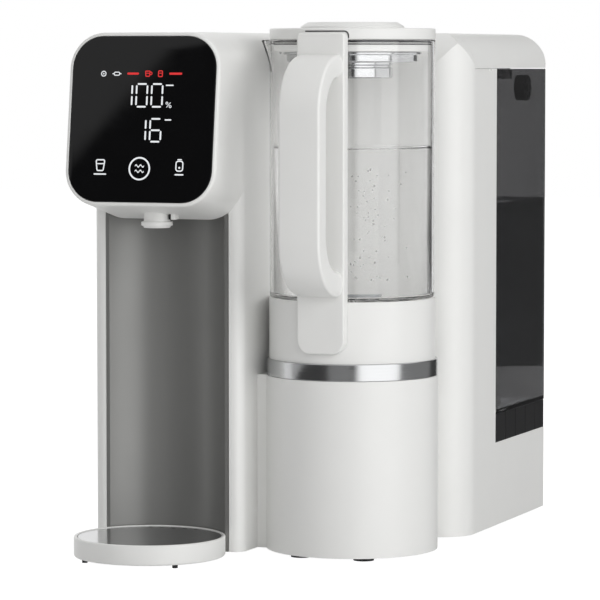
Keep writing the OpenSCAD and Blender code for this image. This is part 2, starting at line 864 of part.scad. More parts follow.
// White collar under the vessel, with the guide of its valve and the spigot that enters the ring
module pitcher_collar() {
    color("whitesmoke") translate([stand_x, stand_y, 0]) difference() {
        union() {
            bar_z(pitcher_z, vessel_floor, 0, 0, 2 * collar_r);
            bar_z(pitcher_z - spigot_h, pitcher_z, 0, 0, 2 * (ring_in - gap));
        }
        difference() {
            bar_z(pitcher_z - spigot_h - eps, vessel_floor - collar_t, 0, 0, 2 * (ring_in - gap - collar_t));
            bar_z(vessel_floor - guide_h, vessel_floor, 0, 0, guide_d);
        }
        bar_z(pitcher_z - eps, vessel_floor + eps, 0, 0, stem_d + 2 * run_gap);
        for (a = [0 : 90 : 270])
            rotate(a) bar_z(pitcher_z, vessel_floor + eps, guide_d / 2 - 3.2, 0, 4);
    }
}

// Valve in the pitcher's floor: a disc with a stem that stands on the dock's pin
module pitcher_valve() {
    seat_z = vessel_floor + vessel_t + seat_gap;
    color("gray") {
        bar_z(seat_z, seat_z + poppet_t, stand_x, stand_y, poppet_d);
        bar_z(dock_pin_z + seat_gap, seat_z, stand_x, stand_y, stem_d);
    }
}

// Handle: a back plate against the vessel and a D-shaped grip in front of it
module pitcher_handle() {
    grip_front = stand_y - vessel_r - grip_reach;
    plate_y = stand_y - collar_r - plate_d;
    grip_top = vessel_z - 11;
    bend_r = plate_y - grip_front - 2;
    hole_r = bend_r - grip_t - 2.5;
    color("whitesmoke") difference() {
        union() {
            along_y(plate_y, plate_y + 2 * plate_d)
                translate([stand_x, 0])
                    soft_rect(-handle_plate_w / 2, pitcher_z + 7, handle_plate_w / 2, vessel_z + lid_t - 3,
                        [10, 10, 3, 3]);
            along_x(stand_x - grip_w / 2, stand_x + grip_w / 2) difference() {
                soft_rect(grip_front, grip_z, plate_y + 1, grip_top, [bend_r, 0, 0, bend_r]);
                soft_rect(grip_front + grip_t, grip_z + grip_foot, plate_y, grip_top - grip_t,
                    [hole_r, 4, 4, hole_r]);
            }
        }
        bar_z(0, body_h + 2 * lid_t, stand_x, stand_y, 2 * (collar_r + seat_gap));
    }
}

// Lid: rim over the vessel and a plug inside it, open under the cap
module pitcher_lid() {
    plug_r = vessel_r - vessel_t - 1;
    color("whitesmoke") translate([stand_x, stand_y, 0]) difference() {
        union() {
            bar_z(vessel_z + seat_gap, lid_top, 0, 0, 2 * vessel_r);
            bar_z(strainer_z1, vessel_z + seat_gap, 0, 0, 2 * plug_r);
        }
        bar_z(strainer_z1 + 2.5, lid_top - 2.5, 0, 0, 2 * (plug_r - 2.5));
        bar_z(lid_top - 2.5 - eps, lid_top + eps, 0, 0, 2 * (cap_r - 1.2));
        difference() {
            bar_z(gasket_z, gasket_z + gasket_h, 0, 0, 2 * plug_r + 2);
            bar_z(gasket_z - eps, gasket_z + gasket_h + eps, 0, 0, 2 * plug_r - 2);
        }
    }
}

// Raised round cap that snaps into the lid
module lid_cap() {
    color("whitesmoke") translate([stand_x, stand_y, 0]) {
        bar_z(lid_top, lid_top + cap_h, 0, 0, 2 * cap_r);
        bar_z(lid_top - 2.5, lid_top, 0, 0, 2 * (cap_r - 1.2 - seat_gap));
    }
}

// Dark sealing ring round the lid's plug
module lid_gasket() {
    plug_r = vessel_r - vessel_t - 1;
    color("black") translate([stand_x, stand_y, 0]) difference() {
        bar_z(gasket_z + run_gap, gasket_z + gasket_h - run_gap, 0, 0, 2 * (vessel_r - vessel_t - seat_gap));
        bar_z(gasket_z - eps, gasket_z + gasket_h + eps, 0, 0, 2 * (plug_r - 1 + run_gap));
    }
}

// Polished steel strainer under the lid: a broad band and a smaller cup
module lid_strainer() {
    color("silver") translate([stand_x, stand_y, 0]) difference() {
        union() {
            bar_z(strainer_z1 - band_h, strainer_z1, 0, 0, 2 * band_r);
            bar_z(strainer_z1 - band_h - cup_h, strainer_z1 - band_h, 0, 0, 2 * cup_r);
        }
        bar_z(strainer_z1 - band_h + 1.5, strainer_z1 + eps, 0, 0, 2 * (band_r - 1.5));
        bar_z(strainer_z1 - band_h - cup_h + 1.5, strainer_z1, 0, 0, 2 * (cup_r - 1.5));
    }
}

// Smoky raw-water tank, open at the top, with the lid's hinge barrel on its rear rim
module tank_shell() {
    color("dimgray", 0.6) difference() {
        union() {
            difference() {
                tank_block(0, tank_floor, tank_top);
                tank_block(tank_t, tank_floor + tank_t, tank_top + eps);
            }
            span([barrel_x0, hinge_y - hinge_r, tank_top - 8], [barrel_x1, hinge_y + hinge_r, hinge_z]);
            bar_x(barrel_x0, barrel_x1, hinge_y, hinge_z, 2 * hinge_r);
        }
        bar_x(barrel_x0 - eps, barrel_x1 + eps, hinge_y, hinge_z, pin_d + 2 * run_gap);
        bar_z(tank_floor - eps, tank_floor + tank_t + eps, valve_x, valve_y, valve_hole_d);
        bar_x(x_right - tank_t - eps, x_right + eps, knob_y, knob_z, knob_stem_d + 2 * run_gap);
    }
}

// Tank's outline drawn in by s, between two heights
module tank_block(s, z0, z1) {
    translate([0, 0, z0]) linear_extrude(z1 - z0)
        soft_rect(tank_x0 + s, tank_y0 + s, x_right - s, y_back - s, [3, 0, rear_inner(s), 3]);
}

// Skirt under the tank, standing on the bay's floor, with fine upright lines in its outer side
module tank_skirt() {
    color("black") difference() {
        tank_block(skirt_in, bay_floor, tank_floor);
        tank_block(skirt_in + skirt_t, bay_floor - eps, tank_floor + eps);
        for (i = [1 : skirt_lines])
            translate([0, tank_y0 + i * tank_d / (skirt_lines + 1), 0])
                span([x_right - skirt_in - skirt_line_t, -skirt_line_w / 2, bay_floor - eps],
                     [x_right + eps, skirt_line_w / 2, tank_floor + eps]);
    }
}

// Guide of the tank's valve, under the tank's floor
module tank_valve_guide() {
    color("black") translate([valve_x, valve_y, 0]) difference() {
        bar_z(tank_floor - valve_guide_h, tank_floor, 0, 0, guide_d + 6);
        bar_z(0, tank_floor + eps, 0, 0, stem_d + 2 * run_gap);
        for (a = [0 : 90 : 270]) rotate(a) bar_z(0, tank_floor + eps, 6.5, 0, 4);
    }
}

// Valve in the tank's floor: a disc with a stem that stands on the dock's pin
module tank_valve() {
    seat_z = tank_floor + tank_t + seat_gap;
    color("gray") {
        bar_z(seat_z, seat_z + poppet_t, valve_x, valve_y, poppet_d);
        bar_z(tank_pin_z + seat_gap, seat_z, valve_x, valve_y, stem_d);
    }
}

// Socket in the bay's floor that the tank stands on, with the pin that opens its valve
module tank_dock() {
    color("gray") {
        difference() {
            bar_z(bay_floor - wall - dock_tail, bay_floor, valve_x, valve_y, dock_neck_d);
            bar_z(bay_floor - wall - dock_tail + 3, bay_floor + eps, valve_x, valve_y, dock_neck_d - 5);
        }
        difference() {
            bar_z(bay_floor, bay_floor + 3, valve_x, valve_y, guide_d + 20);
            bar_z(bay_floor - eps, bay_floor + 4, valve_x, valve_y, dock_neck_d - 5);
        }
        bar_z(bay_floor - wall - dock_tail, tank_pin_z, valve_x, valve_y, dock_pin_d);
    }
}

// Dark spoked knob on the tank's side, turning in the wall
module tank_knob() {
    color("black") difference() {
        union() {
            bar_x(x_right - tank_t - 9, x_right - tank_t - 1, knob_y, knob_z, knob_d);
            bar_x(x_right - tank_t - 1, x_right - 0.2, knob_y, knob_z, knob_stem_d);
        }
        for (a = [0 : 45 : 315])
            translate([x_right - tank_t - 10, knob_y, knob_z]) rotate([a, 0, 0])
                bar_x(-eps, 10, 0, knob_d * 0.36, knob_d * 0.16);
    }
}

// Part of the top between x0 and x1, as a shell open below
module top_lid(x0, x1, z0) {
    difference() {
        intersection() {
            block_solid(0, foot_h);
            span([x0, lid_y0 + gap, z0], [x1, y_back + eps, body_h + eps]);
        }
        intersection() {
            block_solid(lid_wall, foot_h);
            span([x0 + (x0 < x_left ? 0 : lid_wall), lid_y0 + gap + lid_wall, z0 - eps],
                 [x1 - (x1 > x_right ? 0 : lid_wall), y_back, body_h]);
        }
    }
}

// White lid over the tank, hinged at the tank's rear rim
module tank_lid() {
    color("whitesmoke") difference() {
        union() {
            difference() {
                top_lid(tank_x0, x_right + eps, lid_z + seat_gap);
                along_x(tank_x0 - eps, x_right + eps)
                    translate([y_back, lid_z + seat_gap]) mirror([1, 0]) corner_cut(hinge_in);
                span([barrel_x0 - knuckle_w - 2 * gap, hinge_y - hinge_r - gap, lid_z],
                     [barrel_x1 + knuckle_w + 2 * gap, y_back + eps, hinge_z + hinge_r + gap]);
            }
            for (x = [barrel_x0 - gap - knuckle_w, barrel_x1 + gap]) {
                bar_x(x, x + knuckle_w, hinge_y, hinge_z, 2 * hinge_r);
                span([x, hinge_y - hinge_r, hinge_z],
                     [x + knuckle_w, hinge_y + hinge_r, hinge_z + hinge_r + 3]);
            }
        }
        bar_x(tank_x0, x_right, hinge_y, hinge_z, pin_d + 2 * run_gap);
    }
}

// Steel pin of the tank lid's hinge
module hinge_pin() {
    color("silver") bar_x(barrel_x0 - knuckle_w, barrel_x1 + knuckle_w, hinge_y, hinge_z, pin_d);
}

// White cover over the filter well, resting on the block's rim
module filter_cover() {
    color("whitesmoke") top_lid(x_left - eps, tank_x0 - gap, lid_z);
}

// Manifold on the base plate that the filter twists into
module filter_head() {
    color("whitesmoke") difference() {
        span([filter_x - manifold_w / 2, filter_y - manifold_w / 2, base_z],
             [filter_x + manifold_w / 2, filter_y + manifold_w / 2, filter_z]);
        bar_z(filter_z - socket_h, filter_z + eps, filter_x, filter_y, filter_neck_d + 2 * run_gap);
    }
}

// Filter cartridge: neck below, long canister and a grip bar on top
module filter_cartridge() {
    color("lightsteelblue") {
        bar_z(filter_z - socket_h + 0.5, filter_z + seat_gap, filter_x, filter_y, filter_neck_d);
        bar_z(filter_z + seat_gap, filter_z + filter_h - grip_bar_h, filter_x, filter_y, filter_d);
        span([filter_x - filter_d * 0.36, filter_y - 5, filter_z + filter_h - grip_bar_h],
             [filter_x + filter_d * 0.36, filter_y + 5, filter_z + filter_h]);
    }
}

// Motor of the booster pump: a can with end plates and a foot on the base plate
module pump_motor() {
    color("gray") difference() {
        union() {
            bar_x(motor_x0, motor_x1, pump_y, pump_z, motor_d);
            span([motor_x0 + 6, pump_y - motor_d / 2 + 4, base_z],
                 [motor_x1 - 6, pump_y + motor_d / 2 - 4, pump_z]);
        }
        bar_x(motor_x0 + 4, motor_x1 - 4, pump_y, pump_z, motor_d - 5);
        bar_x(motor_x0 - eps, motor_x1 + eps, pump_y, pump_z, shaft_d + 2 * run_gap);
    }
}

// Pump head with its chamber, bolted to the motor's face
module pump_head() {
    half = pump_w / 2;
    color("black") difference() {
        union() {
            span([motor_x1, pump_y - half, pump_z - half], [pump_x1, pump_y + half, pump_z + half]);
            span([motor_x1 + 4, pump_y - half + 8, base_z], [pump_x1 - 4, pump_y + half - 8, pump_z]);
        }
        bar_x(motor_x1 - eps, pump_x1 - 5, pump_y, pump_z, pump_w - 12);
    }
}

// Rotor of the motor, its shaft and the eccentric that works the pump
module pump_rotor() {
    color("silver") {
        bar_x(motor_x0 + 1, pump_x1 - 8, pump_y, pump_z, shaft_d);
        bar_x(motor_x0 + 8, motor_x1 - 8, pump_y, pump_z, motor_d - 12);
        bar_x(motor_x1 + 5, pump_x1 - 9, pump_y, pump_z + 2.5, 18);
    }
}

// Solenoid valve between the pump and the filter, standing on the base plate
module solenoid_valve() {
    color("steelblue") difference() {
        span([filter_x - solenoid_w / 2, solenoid_y - solenoid_l / 2, base_z],
             [filter_x + solenoid_w / 2, solenoid_y + solenoid_l / 2, solenoid_z + solenoid_h]);
        bar_z(solenoid_z + 5, solenoid_z + solenoid_h + eps, filter_x, solenoid_y, plunger_d + 2 * run_gap);
    }
}

// Plunger that slides in the solenoid's bore
module valve_plunger() {
    color("silver")
        bar_z(solenoid_z + 5.5, solenoid_z + solenoid_h + 6, filter_x, solenoid_y, plunger_d);
}

// Mains power supply on the wall in front of the tank bay
module power_supply() {
    color("goldenrod")
        span([valve_x - supply_w / 2, bay_y - wall - supply_d, supply_z],
             [valve_x + supply_w / 2, bay_y - wall, supply_z + supply_h]);
}

// Control board on four spacers on the same wall
module control_board() {
    board_y = bay_y - wall - 2 * spacer_h;
    color("green") {
        span([valve_x - control_w / 2, board_y - board_t, control_z],
             [valve_x + control_w / 2, board_y, control_z + control_h]);
        for (x = [valve_x - control_w / 2 + 5, valve_x + control_w / 2 - 5])
            for (z = [control_z + 5, control_z + control_h - 5])
                bar_y(board_y, bay_y - wall, x, z, 6);
        for (i = [-1 : 1])
            span([valve_x + i * 30 - 9, board_y - board_t - 10, control_z + 30],
                 [valve_x + i * 30 + 9, board_y - board_t, control_z + 48]);
    }
}

// Purity sensor on the manifold's outlet
module purity_sensor() {
    color("black")
        bar_x(filter_x + manifold_w / 2, filter_x + manifold_w / 2 + sensor_l, filter_y, pure_z, sensor_d);
}

// Hose of straight runs between points, with a round elbow at each turn
module hose(points) {
    for (i = [0 : len(points) - 2]) {
        a = points[i];
        b = points[i + 1];
        run = b - a;
        length = norm(run);
        translate(a)
            rotate([0, acos(run[2] / length), atan2(run[1], run[0])])
                cylinder(d = hose_d, h = length);
    }
    for (i = [1 : len(points) - 2]) translate(points[i]) sphere(d = hose_d + 2.4);
}

// From the tank's dock down and across to the pump
module feed_hose() {
    color("white") hose([
        [valve_x, valve_y, bay_floor - wall - dock_tail],
        [valve_x, valve_y, pump_z],
        [port_x, valve_y, pump_z],
        [port_x, pump_y + pump_w / 2, pump_z]
    ]);
}

// From the pump along the front wall to the solenoid valve
module pressure_hose() {
    color("white") hose([
        [port_x, pump_y - pump_w / 2, pump_z],
        [port_x, hose_y, pump_z],
        [filter_x, hose_y, pump_z],
        [filter_x, solenoid_y - solenoid_l / 2, pump_z]
    ]);
}

// From the solenoid valve into the manifold
module valve_hose() {
    color("white") hose([
        [filter_x, solenoid_y + solenoid_l / 2, pump_z],
        [filter_x, filter_y - manifold_w / 2, pump_z]
    ]);
}

// Purified water from the sensor to the pitcher's dock
module pure_hose() {
    color("lightblue") hose([
        [filter_x + manifold_w / 2 + sensor_l, filter_y, pure_z],
        [pure_x, filter_y, pure_z],
        [pure_x, pure_y, pure_z],
        [pure_port_x, pure_y, pure_z],
        [pure_port_x, stand_y, pure_z],
        [pure_port_x, stand_y, dock_port_z]
    ]);
}

// From the pitcher's dock through the column up to the head
module outlet_hose() {
    color("lightblue") hose([
        [stand_x - 10, stand_y, dock_port_z],
        [stand_x - 10, stand_y, cross_z],
        [column_x, stand_y, cross_z],
        [column_x, stand_y, outlet_z],
        [column_x, y_front, outlet_z]
    ]);
}

base_plate();
rubber_feet();
case_screws();
column_housing();
bay_liner();
rear_housing();
front_crown();
tank_bay();
lid_deck();
rear_cover();
power_inlet();
pitcher_stand();
trim_ring();
dock_seat();
head_shell();
display_glass();
display_board();
uv_module();
nozzle();
nozzle_latch();
drip_tray();
tray_feet();
tray_plate();
pitcher_vessel();
pitcher_collar();
pitcher_valve();
pitcher_handle();
pitcher_lid();
lid_cap();
lid_gasket();
lid_strainer();
tank_shell();
tank_skirt();
tank_valve_guide();
tank_valve();
tank_dock();
tank_knob();
tank_lid();
hinge_pin();
filter_cover();
filter_head();
filter_cartridge();
pump_motor();
pump_head();
pump_rotor();
solenoid_valve();
valve_plunger();
power_supply();
control_board();
purity_sensor();
feed_hose();
pressure_hose();
valve_hose();
pure_hose();
outlet_hose();
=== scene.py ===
"""Looks of a countertop reverse osmosis system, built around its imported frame.

Laid out as a Blender add-on: property groups hold the sizes and colours that a user would change,
one operator makes each piece or group of like pieces, and a sidebar panel lists them.
Lengths inside the shape functions are millimetres; meshes are written in metres.
"""

import math

import bmesh
import bpy
import numpy as np
from bpy.props import FloatProperty, FloatVectorProperty, IntProperty, PointerProperty
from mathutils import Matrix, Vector


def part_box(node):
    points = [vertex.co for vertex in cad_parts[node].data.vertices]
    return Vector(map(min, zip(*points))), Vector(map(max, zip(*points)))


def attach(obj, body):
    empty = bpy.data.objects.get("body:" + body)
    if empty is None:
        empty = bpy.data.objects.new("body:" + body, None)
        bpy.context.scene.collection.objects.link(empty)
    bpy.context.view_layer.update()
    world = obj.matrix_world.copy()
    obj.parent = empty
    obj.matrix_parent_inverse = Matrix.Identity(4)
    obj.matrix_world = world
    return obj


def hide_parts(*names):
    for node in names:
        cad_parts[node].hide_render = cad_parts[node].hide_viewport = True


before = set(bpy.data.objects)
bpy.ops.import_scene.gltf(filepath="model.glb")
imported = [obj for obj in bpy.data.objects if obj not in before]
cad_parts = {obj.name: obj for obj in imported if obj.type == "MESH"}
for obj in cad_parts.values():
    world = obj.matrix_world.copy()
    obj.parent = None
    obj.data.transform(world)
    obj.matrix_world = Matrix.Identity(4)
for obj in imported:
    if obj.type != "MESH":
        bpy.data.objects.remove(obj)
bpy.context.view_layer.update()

bl_info = {
    "name": "Countertop water purifier",
    "version": (1, 0, 0),
    "blender": (4, 5, 0),
    "location": "View3D > Sidebar > Purifier",
    "description": "Dresses a countertop reverse osmosis system with its finishes",
    "category": "Object",
}

MM = 0.001
TAU = 2 * math.pi

# Places of the main pieces in the frame, in millimetres
RIGHT, FRONT, BACK = 121.5, -121.25, 207.75
TOP = 377.5
TRAY = (-63.0, -153.25)
STAND = (59.0, -63.85)
NOZZLE = (-63.0, -138.25)
# Display face: the middle of its lower edge, its lean, its width, its height along the lean, the radius of
# its corners and the steps round each
FACE_FOOT = (-63.0, -172.25, 254.0)
FACE_LEAN = math.radians(7.0)
FACE_W, FACE_H = 117.0, 123.5 / math.cos(FACE_LEAN)
FACE_CORNER, FACE_STEPS = 26.0, 16
# Outer and inner radius of the pitcher's vessel
VESSEL_R, VESSEL_IN = 60.0, 57.5
# Turn of the main view about the vertical; the bubbles gather on the side that it shows
VIEW_TURN = math.radians(21.3)


def linear(text):
    """Linear red, green and blue of an sRGB hex colour."""
    parts = np.array([int(text[i:i + 2], 16) for i in (0, 2, 4)]) / 255
    return tuple(np.where(parts <= 0.04045, parts / 12.92, ((parts + 0.055) / 1.055) ** 2.4).tolist())


def colour_prop(name, description, text):
    """A colour property whose default is an sRGB hex value."""
    return FloatVectorProperty(name=name, description=description, default=linear(text),
                               subtype="COLOR", size=3, min=0.0, max=1.0)


def length_prop(name, description, mm):
    """A length property whose default is given in millimetres."""
    return FloatProperty(name=name, description=description, default=mm * MM, unit="LENGTH")


def angle_prop(name, description, turn):
    """An angle property whose default is given in radians."""
    return FloatProperty(name=name, description=description, default=turn, subtype="ANGLE", unit="ROTATION")


def power_prop(name, description, watts):
    """A lamp's power property in watts."""
    return FloatProperty(name=name, description=description, default=watts, min=0.0, unit="POWER")


def count_prop(name, description, count, most):
    """A whole-number property from zero to the most that it may be."""
    return IntProperty(name=name, description=description, default=count, min=0, max=most)


class FinishColours(bpy.types.PropertyGroup):
    """Colours of the object's finishes"""
    shell: colour_prop("Shell", "Moulded housing, tray and pitcher fittings", "EEEEEC")
    shell_shade: colour_prop("Shell shade", "Slightly deeper tone in the shell's moulding", "E9E9E7")
    liner: colour_prop("Bay lining", "Satin lining of the dispensing bay", "868684")
    glass: colour_prop("Touch glass", "Black glass over the display", "050506")
    steel: colour_prop("Steel", "Ring, tray plate and strainer", "C9CACB")
    tank: colour_prop("Tank", "Tint of the raw-water tank", "979798")
    water: colour_prop("Water", "Tint of the water", "FEFEFE")
    lamp_white: colour_prop("White lamps", "Lit signs of the display", "F4F7FA")
    lamp_red: colour_prop("Red lamps", "Warning signs of the display", "E5292B")


class DisplayValues(bpy.types.PropertyGroup):
    """What the display shows"""
    purity: count_prop("Purity", "Upper number on the display", 100, 199)
    portion: count_prop("Portion", "Lower number on the display", 16, 99)


class WaterLevels(bpy.types.PropertyGroup):
    """How full the pitcher and the tank are"""
    pitcher: length_prop("Pitcher level", "Height of the water in the pitcher above the counter", 294.0)
    tank: length_prop("Tank level", "Height of the water in the tank above the counter", 248.0)
    bubbles: count_prop("Bubbles", "Small bubbles in the pitcher's water", 70, 200)


class StageSettings(bpy.types.PropertyGroup):
    """Camera and lamps"""
    eye: FloatVectorProperty(name="Camera", description="Place of the camera", size=3, subtype="XYZ",
                             unit="LENGTH", default=(0.919, -2.37425, 0.359))
    pitch: angle_prop("Pitch", "Camera turn below the horizon", math.radians(4.07))
    yaw: angle_prop("Yaw", "Camera turn about the vertical", VIEW_TURN)
    lens: FloatProperty(name="Lens", description="Focal length in millimetres", default=204.0, min=1.0,
                        unit="CAMERA")
    key: power_prop("Key lamp", "Power of the front lamp", 5.0)
    side: power_prop("Side softbox", "Power of the softbox at the right", 16.0)
    fill: power_prop("Fill lamp", "Power of the lamp at the rear left", 14.0)
    top: power_prop("Top lamp", "Power of the lamp above", 6.0)


def surface(points, close_rows=False, close_columns=True, capped=False):
    """Points on a grid of rows and columns joined by quads; capped closes each end row by one polygon.
    Gives the points, the quads and the end polygons."""
    points = np.asarray(points, float)
    rows, columns = points.shape[:2]
    number = np.arange(rows * columns).reshape(rows, columns)
    here = number if close_rows else number[:-1]
    down = np.roll(number, -1, 0) if close_rows else number[1:]
    quads = np.stack([here, np.roll(here, -1, 1), np.roll(down, -1, 1), down], -1)
    if not close_columns:
        quads = quads[:, :-1]
    ends = np.array([number[0], number[-1, ::-1]]) if capped else np.empty((0, columns), int)
    return points.reshape(-1, 3), quads.reshape(-1, 4), ends


def rounded(points, radii, closed=True, steps=6):
    """A polygon whose corners become arcs: each arc starts radius / tan(half angle) before its corner,
    turns about a centre on the corner's bisector, and ends as far after it."""
    p = np.asarray(points, float)
    r = np.array(np.broadcast_to(np.asarray(radii, float), len(p)))
    if not closed:
        r[[0, -1]] = 0.0
    back, on = np.roll(p, 1, 0) - p, np.roll(p, -1, 0) - p
    back /= np.maximum(np.linalg.norm(back, axis=1), 1e-9)[:, None]
    on /= np.maximum(np.linalg.norm(on, axis=1), 1e-9)[:, None]
    half = 0.5 * np.arccos(np.clip((back * on).sum(1), -1.0, 1.0))
    straight = half > math.pi / 2 - 1e-4
    half = np.clip(half, 1e-3, math.pi / 2 - 1e-4)
    r = np.where(straight, 0.0, r)
    middle = back + on
    middle /= np.maximum(np.linalg.norm(middle, axis=1), 1e-9)[:, None]
    centre = p + middle * (r / np.sin(half))[:, None]
    reach = (r / np.tan(half))[:, None]
    first, last = p + back * reach - centre, p + on * reach - centre
    turn = (math.pi - 2 * half)[:, None]
    t = np.linspace(0.0, 1.0, steps + 1)[None, :]
    w0, w1 = np.sin((1 - t) * turn) / np.sin(turn), np.sin(t * turn) / np.sin(turn)
    arc = centre[:, None] + w0[..., None] * first[:, None] + w1[..., None] * last[:, None]
    arc = arc.reshape(-1, p.shape[1])
    keep = np.linalg.norm(arc - np.roll(arc, 1, 0), axis=1) > 1e-6
    if not closed:
        keep[0] = True
    return arc[keep]


def evenly(line, count):
    """A polyline drawn again with count points at even steps: the run at each point, and the points."""
    run = np.concatenate([[0], np.cumsum(np.linalg.norm(np.diff(line, axis=0), axis=1))])
    even = np.linspace(0, run[-1], count)
    return even, np.stack([np.interp(even, run, line[:, 0]), np.interp(even, run, line[:, 1])], 1)


def soft_rectangle(x0, y0, x1, y1, radius, inset=0.0, steps=10):
    """A rectangle with four corner arcs, drawn in by an inset, with as many points for every inset.
    Each corner is a quarter circle about a centre one radius in from both sides, and never quite sharp."""
    inward = np.array([[1, 1], [-1, 1], [-1, -1], [1, -1]])
    r = np.array(np.broadcast_to(np.asarray(radius, float), 4))
    centre = np.array([[x0, y0], [x1, y0], [x1, y1], [x0, y1]]) + r[:, None] * inward
    short = np.maximum(r - inset, 0.02)
    lost = (short - (r - inset))[:, None] * inward
    start = np.array([math.pi, 1.5 * math.pi, 0.0, 0.5 * math.pi])
    a = start[:, None] + np.linspace(0, math.pi / 2, steps + 1)[None, :]
    ring = np.stack([np.cos(a), np.sin(a)], -1) * short[:, None, None]
    return ((centre + lost)[:, None] + ring).reshape(-1, 2)


def circle(centre, radius, steps=48):
    """Points round a circle."""
    a = np.arange(steps) * TAU / steps
    return np.asarray(centre) + radius * np.stack([np.cos(a), np.sin(a)], 1)


def at_height(loop, z):
    """A flat loop of (x, y) set at one height."""
    return np.column_stack([loop, np.full(len(loop), z)])


def edge_steps(low, high, low_edge, high_edge, steps=6):
    """Pairs of (inset, height) up a wall whose lower and upper edges are quarter circles."""
    a = np.linspace(0, math.pi / 2, steps + 1)
    rise = np.stack([low_edge * (1 - np.sin(a)), low + low_edge * (1 - np.cos(a))], 1)
    fall = np.stack([high_edge * (1 - np.cos(a)), high - high_edge * (1 - np.sin(a))], 1)
    return np.vstack([rise, fall])


def soft_block(low, high, corner, edge, steps=8):
    """A block with round corners: soft rectangles stacked in height and drawn in along a quarter circle
    at both ends."""
    rows = [at_height(soft_rectangle(low[0], low[1], high[0], high[1], corner, inset, steps), z)
            for inset, z in edge_steps(low[2], high[2], edge, edge)]
    return surface(rows, capped=True)


def turned(profile, centre, count=96, closed=True):
    """A profile of (radius, height) turned about an upright axis: x = cx + r cos a, y = cy + r sin a."""
    profile = np.asarray(profile, float)
    a = np.arange(count) * TAU / count
    x = centre[0] + profile[:, :1] * np.cos(a)
    y = centre[1] + profile[:, :1] * np.sin(a)
    z = np.repeat(profile[:, 1:2], count, 1)
    return surface(np.stack([x, y, z], -1), close_rows=closed)


def on_face(points, out=0.0):
    """Points (u across, v up, w outward) of the leaning display face as places in the frame."""
    points = np.asarray(points, float)
    u, v = points[..., 0], points[..., 1]
    w = points[..., 2] if points.shape[-1] > 2 else np.full(u.shape, float(out))
    sin, cos = math.sin(FACE_LEAN), math.cos(FACE_LEAN)
    x, y, z = FACE_FOOT
    return np.stack([x + u, y + v * sin - w * cos, z + v * cos + w * sin], -1)


def node_box(node):
    """Lowest and highest corners of a frame node, in millimetres."""
    low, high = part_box(node)
    return np.array(low) / MM, np.array(high) / MM


def piece(name, parts, finish, body, stands_for=(), sharp=38.0):
    """Joins surfaces into one closed mesh object, welds their seams, turns the faces outwards and sets it
    on a body. Edges that bend by more than the sharp angle, in degrees, are shaded as edges."""
    points, faces, count = [], [], 0
    for part_points, quads, ends in parts:
        points.append(part_points)
        faces += (quads + count).tolist() + (ends + count).tolist()
        count += len(part_points)
    mesh = bpy.data.meshes.new(name)
    mesh.from_pydata((np.vstack(points) * MM).tolist(), [], faces)
    work = bmesh.new()
    work.from_mesh(mesh)
    bmesh.ops.remove_doubles(work, verts=work.verts, dist=2e-6)
    bmesh.ops.dissolve_degenerate(work, edges=work.edges, dist=1e-6)
    bmesh.ops.recalc_face_normals(work, faces=work.faces)
    work.to_mesh(mesh)
    work.free()
    mesh.validate()
    mesh.shade_smooth()
    mesh.set_sharp_from_angle(angle=math.radians(sharp))
    mesh.materials.append(finish)
    made = bpy.data.objects.new(name, mesh)
    bpy.context.scene.collection.objects.link(made)
    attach(made, body)
    if stands_for:
        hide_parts(*stands_for)
    return made


def let_light_through(made):
    """Lets lamp light and scattered light pass a clear piece without shade, so that what stands behind it
    stays lit."""
    made.visible_shadow = False
    made.visible_diffuse = False


def feed(tree, node, inputs):
    """Gives a node its inputs by name or number: a socket is linked, a value is set."""
    for key, value in inputs.items():
        if isinstance(value, bpy.types.NodeSocket):
            tree.links.new(value, node.inputs[key])
        else:
            node.inputs[key].default_value = value


def add(tree, kind, inputs=None, **settings):
    """Adds one node: settings are its own properties, inputs are values or sockets."""
    made = tree.nodes.new(kind)
    for key, value in settings.items():
        setattr(made, key, value)
    feed(tree, made, inputs or {})
    return made


def empty_tree(owner):
    """The cleared node tree of a material or a world."""
    owner.use_nodes = True
    owner.node_tree.nodes.clear()
    return owner.node_tree


def start_finish(name):
    """A new material with its shader, its output and the object's own coordinates."""
    made = bpy.data.materials.new(name)
    tree = empty_tree(made)
    shader = add(tree, "ShaderNodeBsdfPrincipled")
    add(tree, "ShaderNodeOutputMaterial", {"Surface": shader.outputs["BSDF"]})
    return made, tree, shader, add(tree, "ShaderNodeTexCoord").outputs["Object"]


def opaque(tone, share=1.0):
    """A colour, or a share of it, at full opacity."""
    return (*[c * share for c in tone], 1)


def per_mm(size):
    """Scale of a pattern whose size is given in millimetres."""
    return 1 / (size * MM)


def chosen(name):
    """A colour from the settings."""
    return tuple(getattr(bpy.context.scene.purifier_colours, name))


def moulded_plastic(name, tone, shade, rough=0.4, grain=0.9, depth=0.05, metallic=0.0):
    """Injection-moulded plastic. The mould's spark-eroded grain, about 0.2 mm and drawn at 0.9 mm so that
    it shows, breaks the gloss into a satin, and the flow of the melt lets tone and gloss drift over 45 mm."""
    if name in bpy.data.materials:
        return bpy.data.materials[name]
    made, tree, shader, place = start_finish(name)
    drift = add(tree, "ShaderNodeTexNoise", {"Vector": place, "Scale": per_mm(45), "Detail": 2.0})
    drift = drift.outputs["Fac"]
    tint = add(tree, "ShaderNodeMix", {0: drift, 6: opaque(tone), 7: opaque(shade)}, data_type="RGBA")
    gloss = add(tree, "ShaderNodeMapRange", {"Value": drift, "To Min": rough - 0.05, "To Max": rough + 0.05})
    pits = add(tree, "ShaderNodeTexNoise", {"Vector": place, "Scale": per_mm(grain), "Detail": 1.0})
    bump = add(tree, "ShaderNodeBump", {"Height": pits.outputs["Fac"], "Strength": depth,
                                        "Distance": 0.1 * MM})
    feed(tree, shader, {"Base Color": tint.outputs[2], "Roughness": gloss.outputs[0],
                        "Normal": bump.outputs[0], "Metallic": metallic, "IOR": 1.53})
    return made


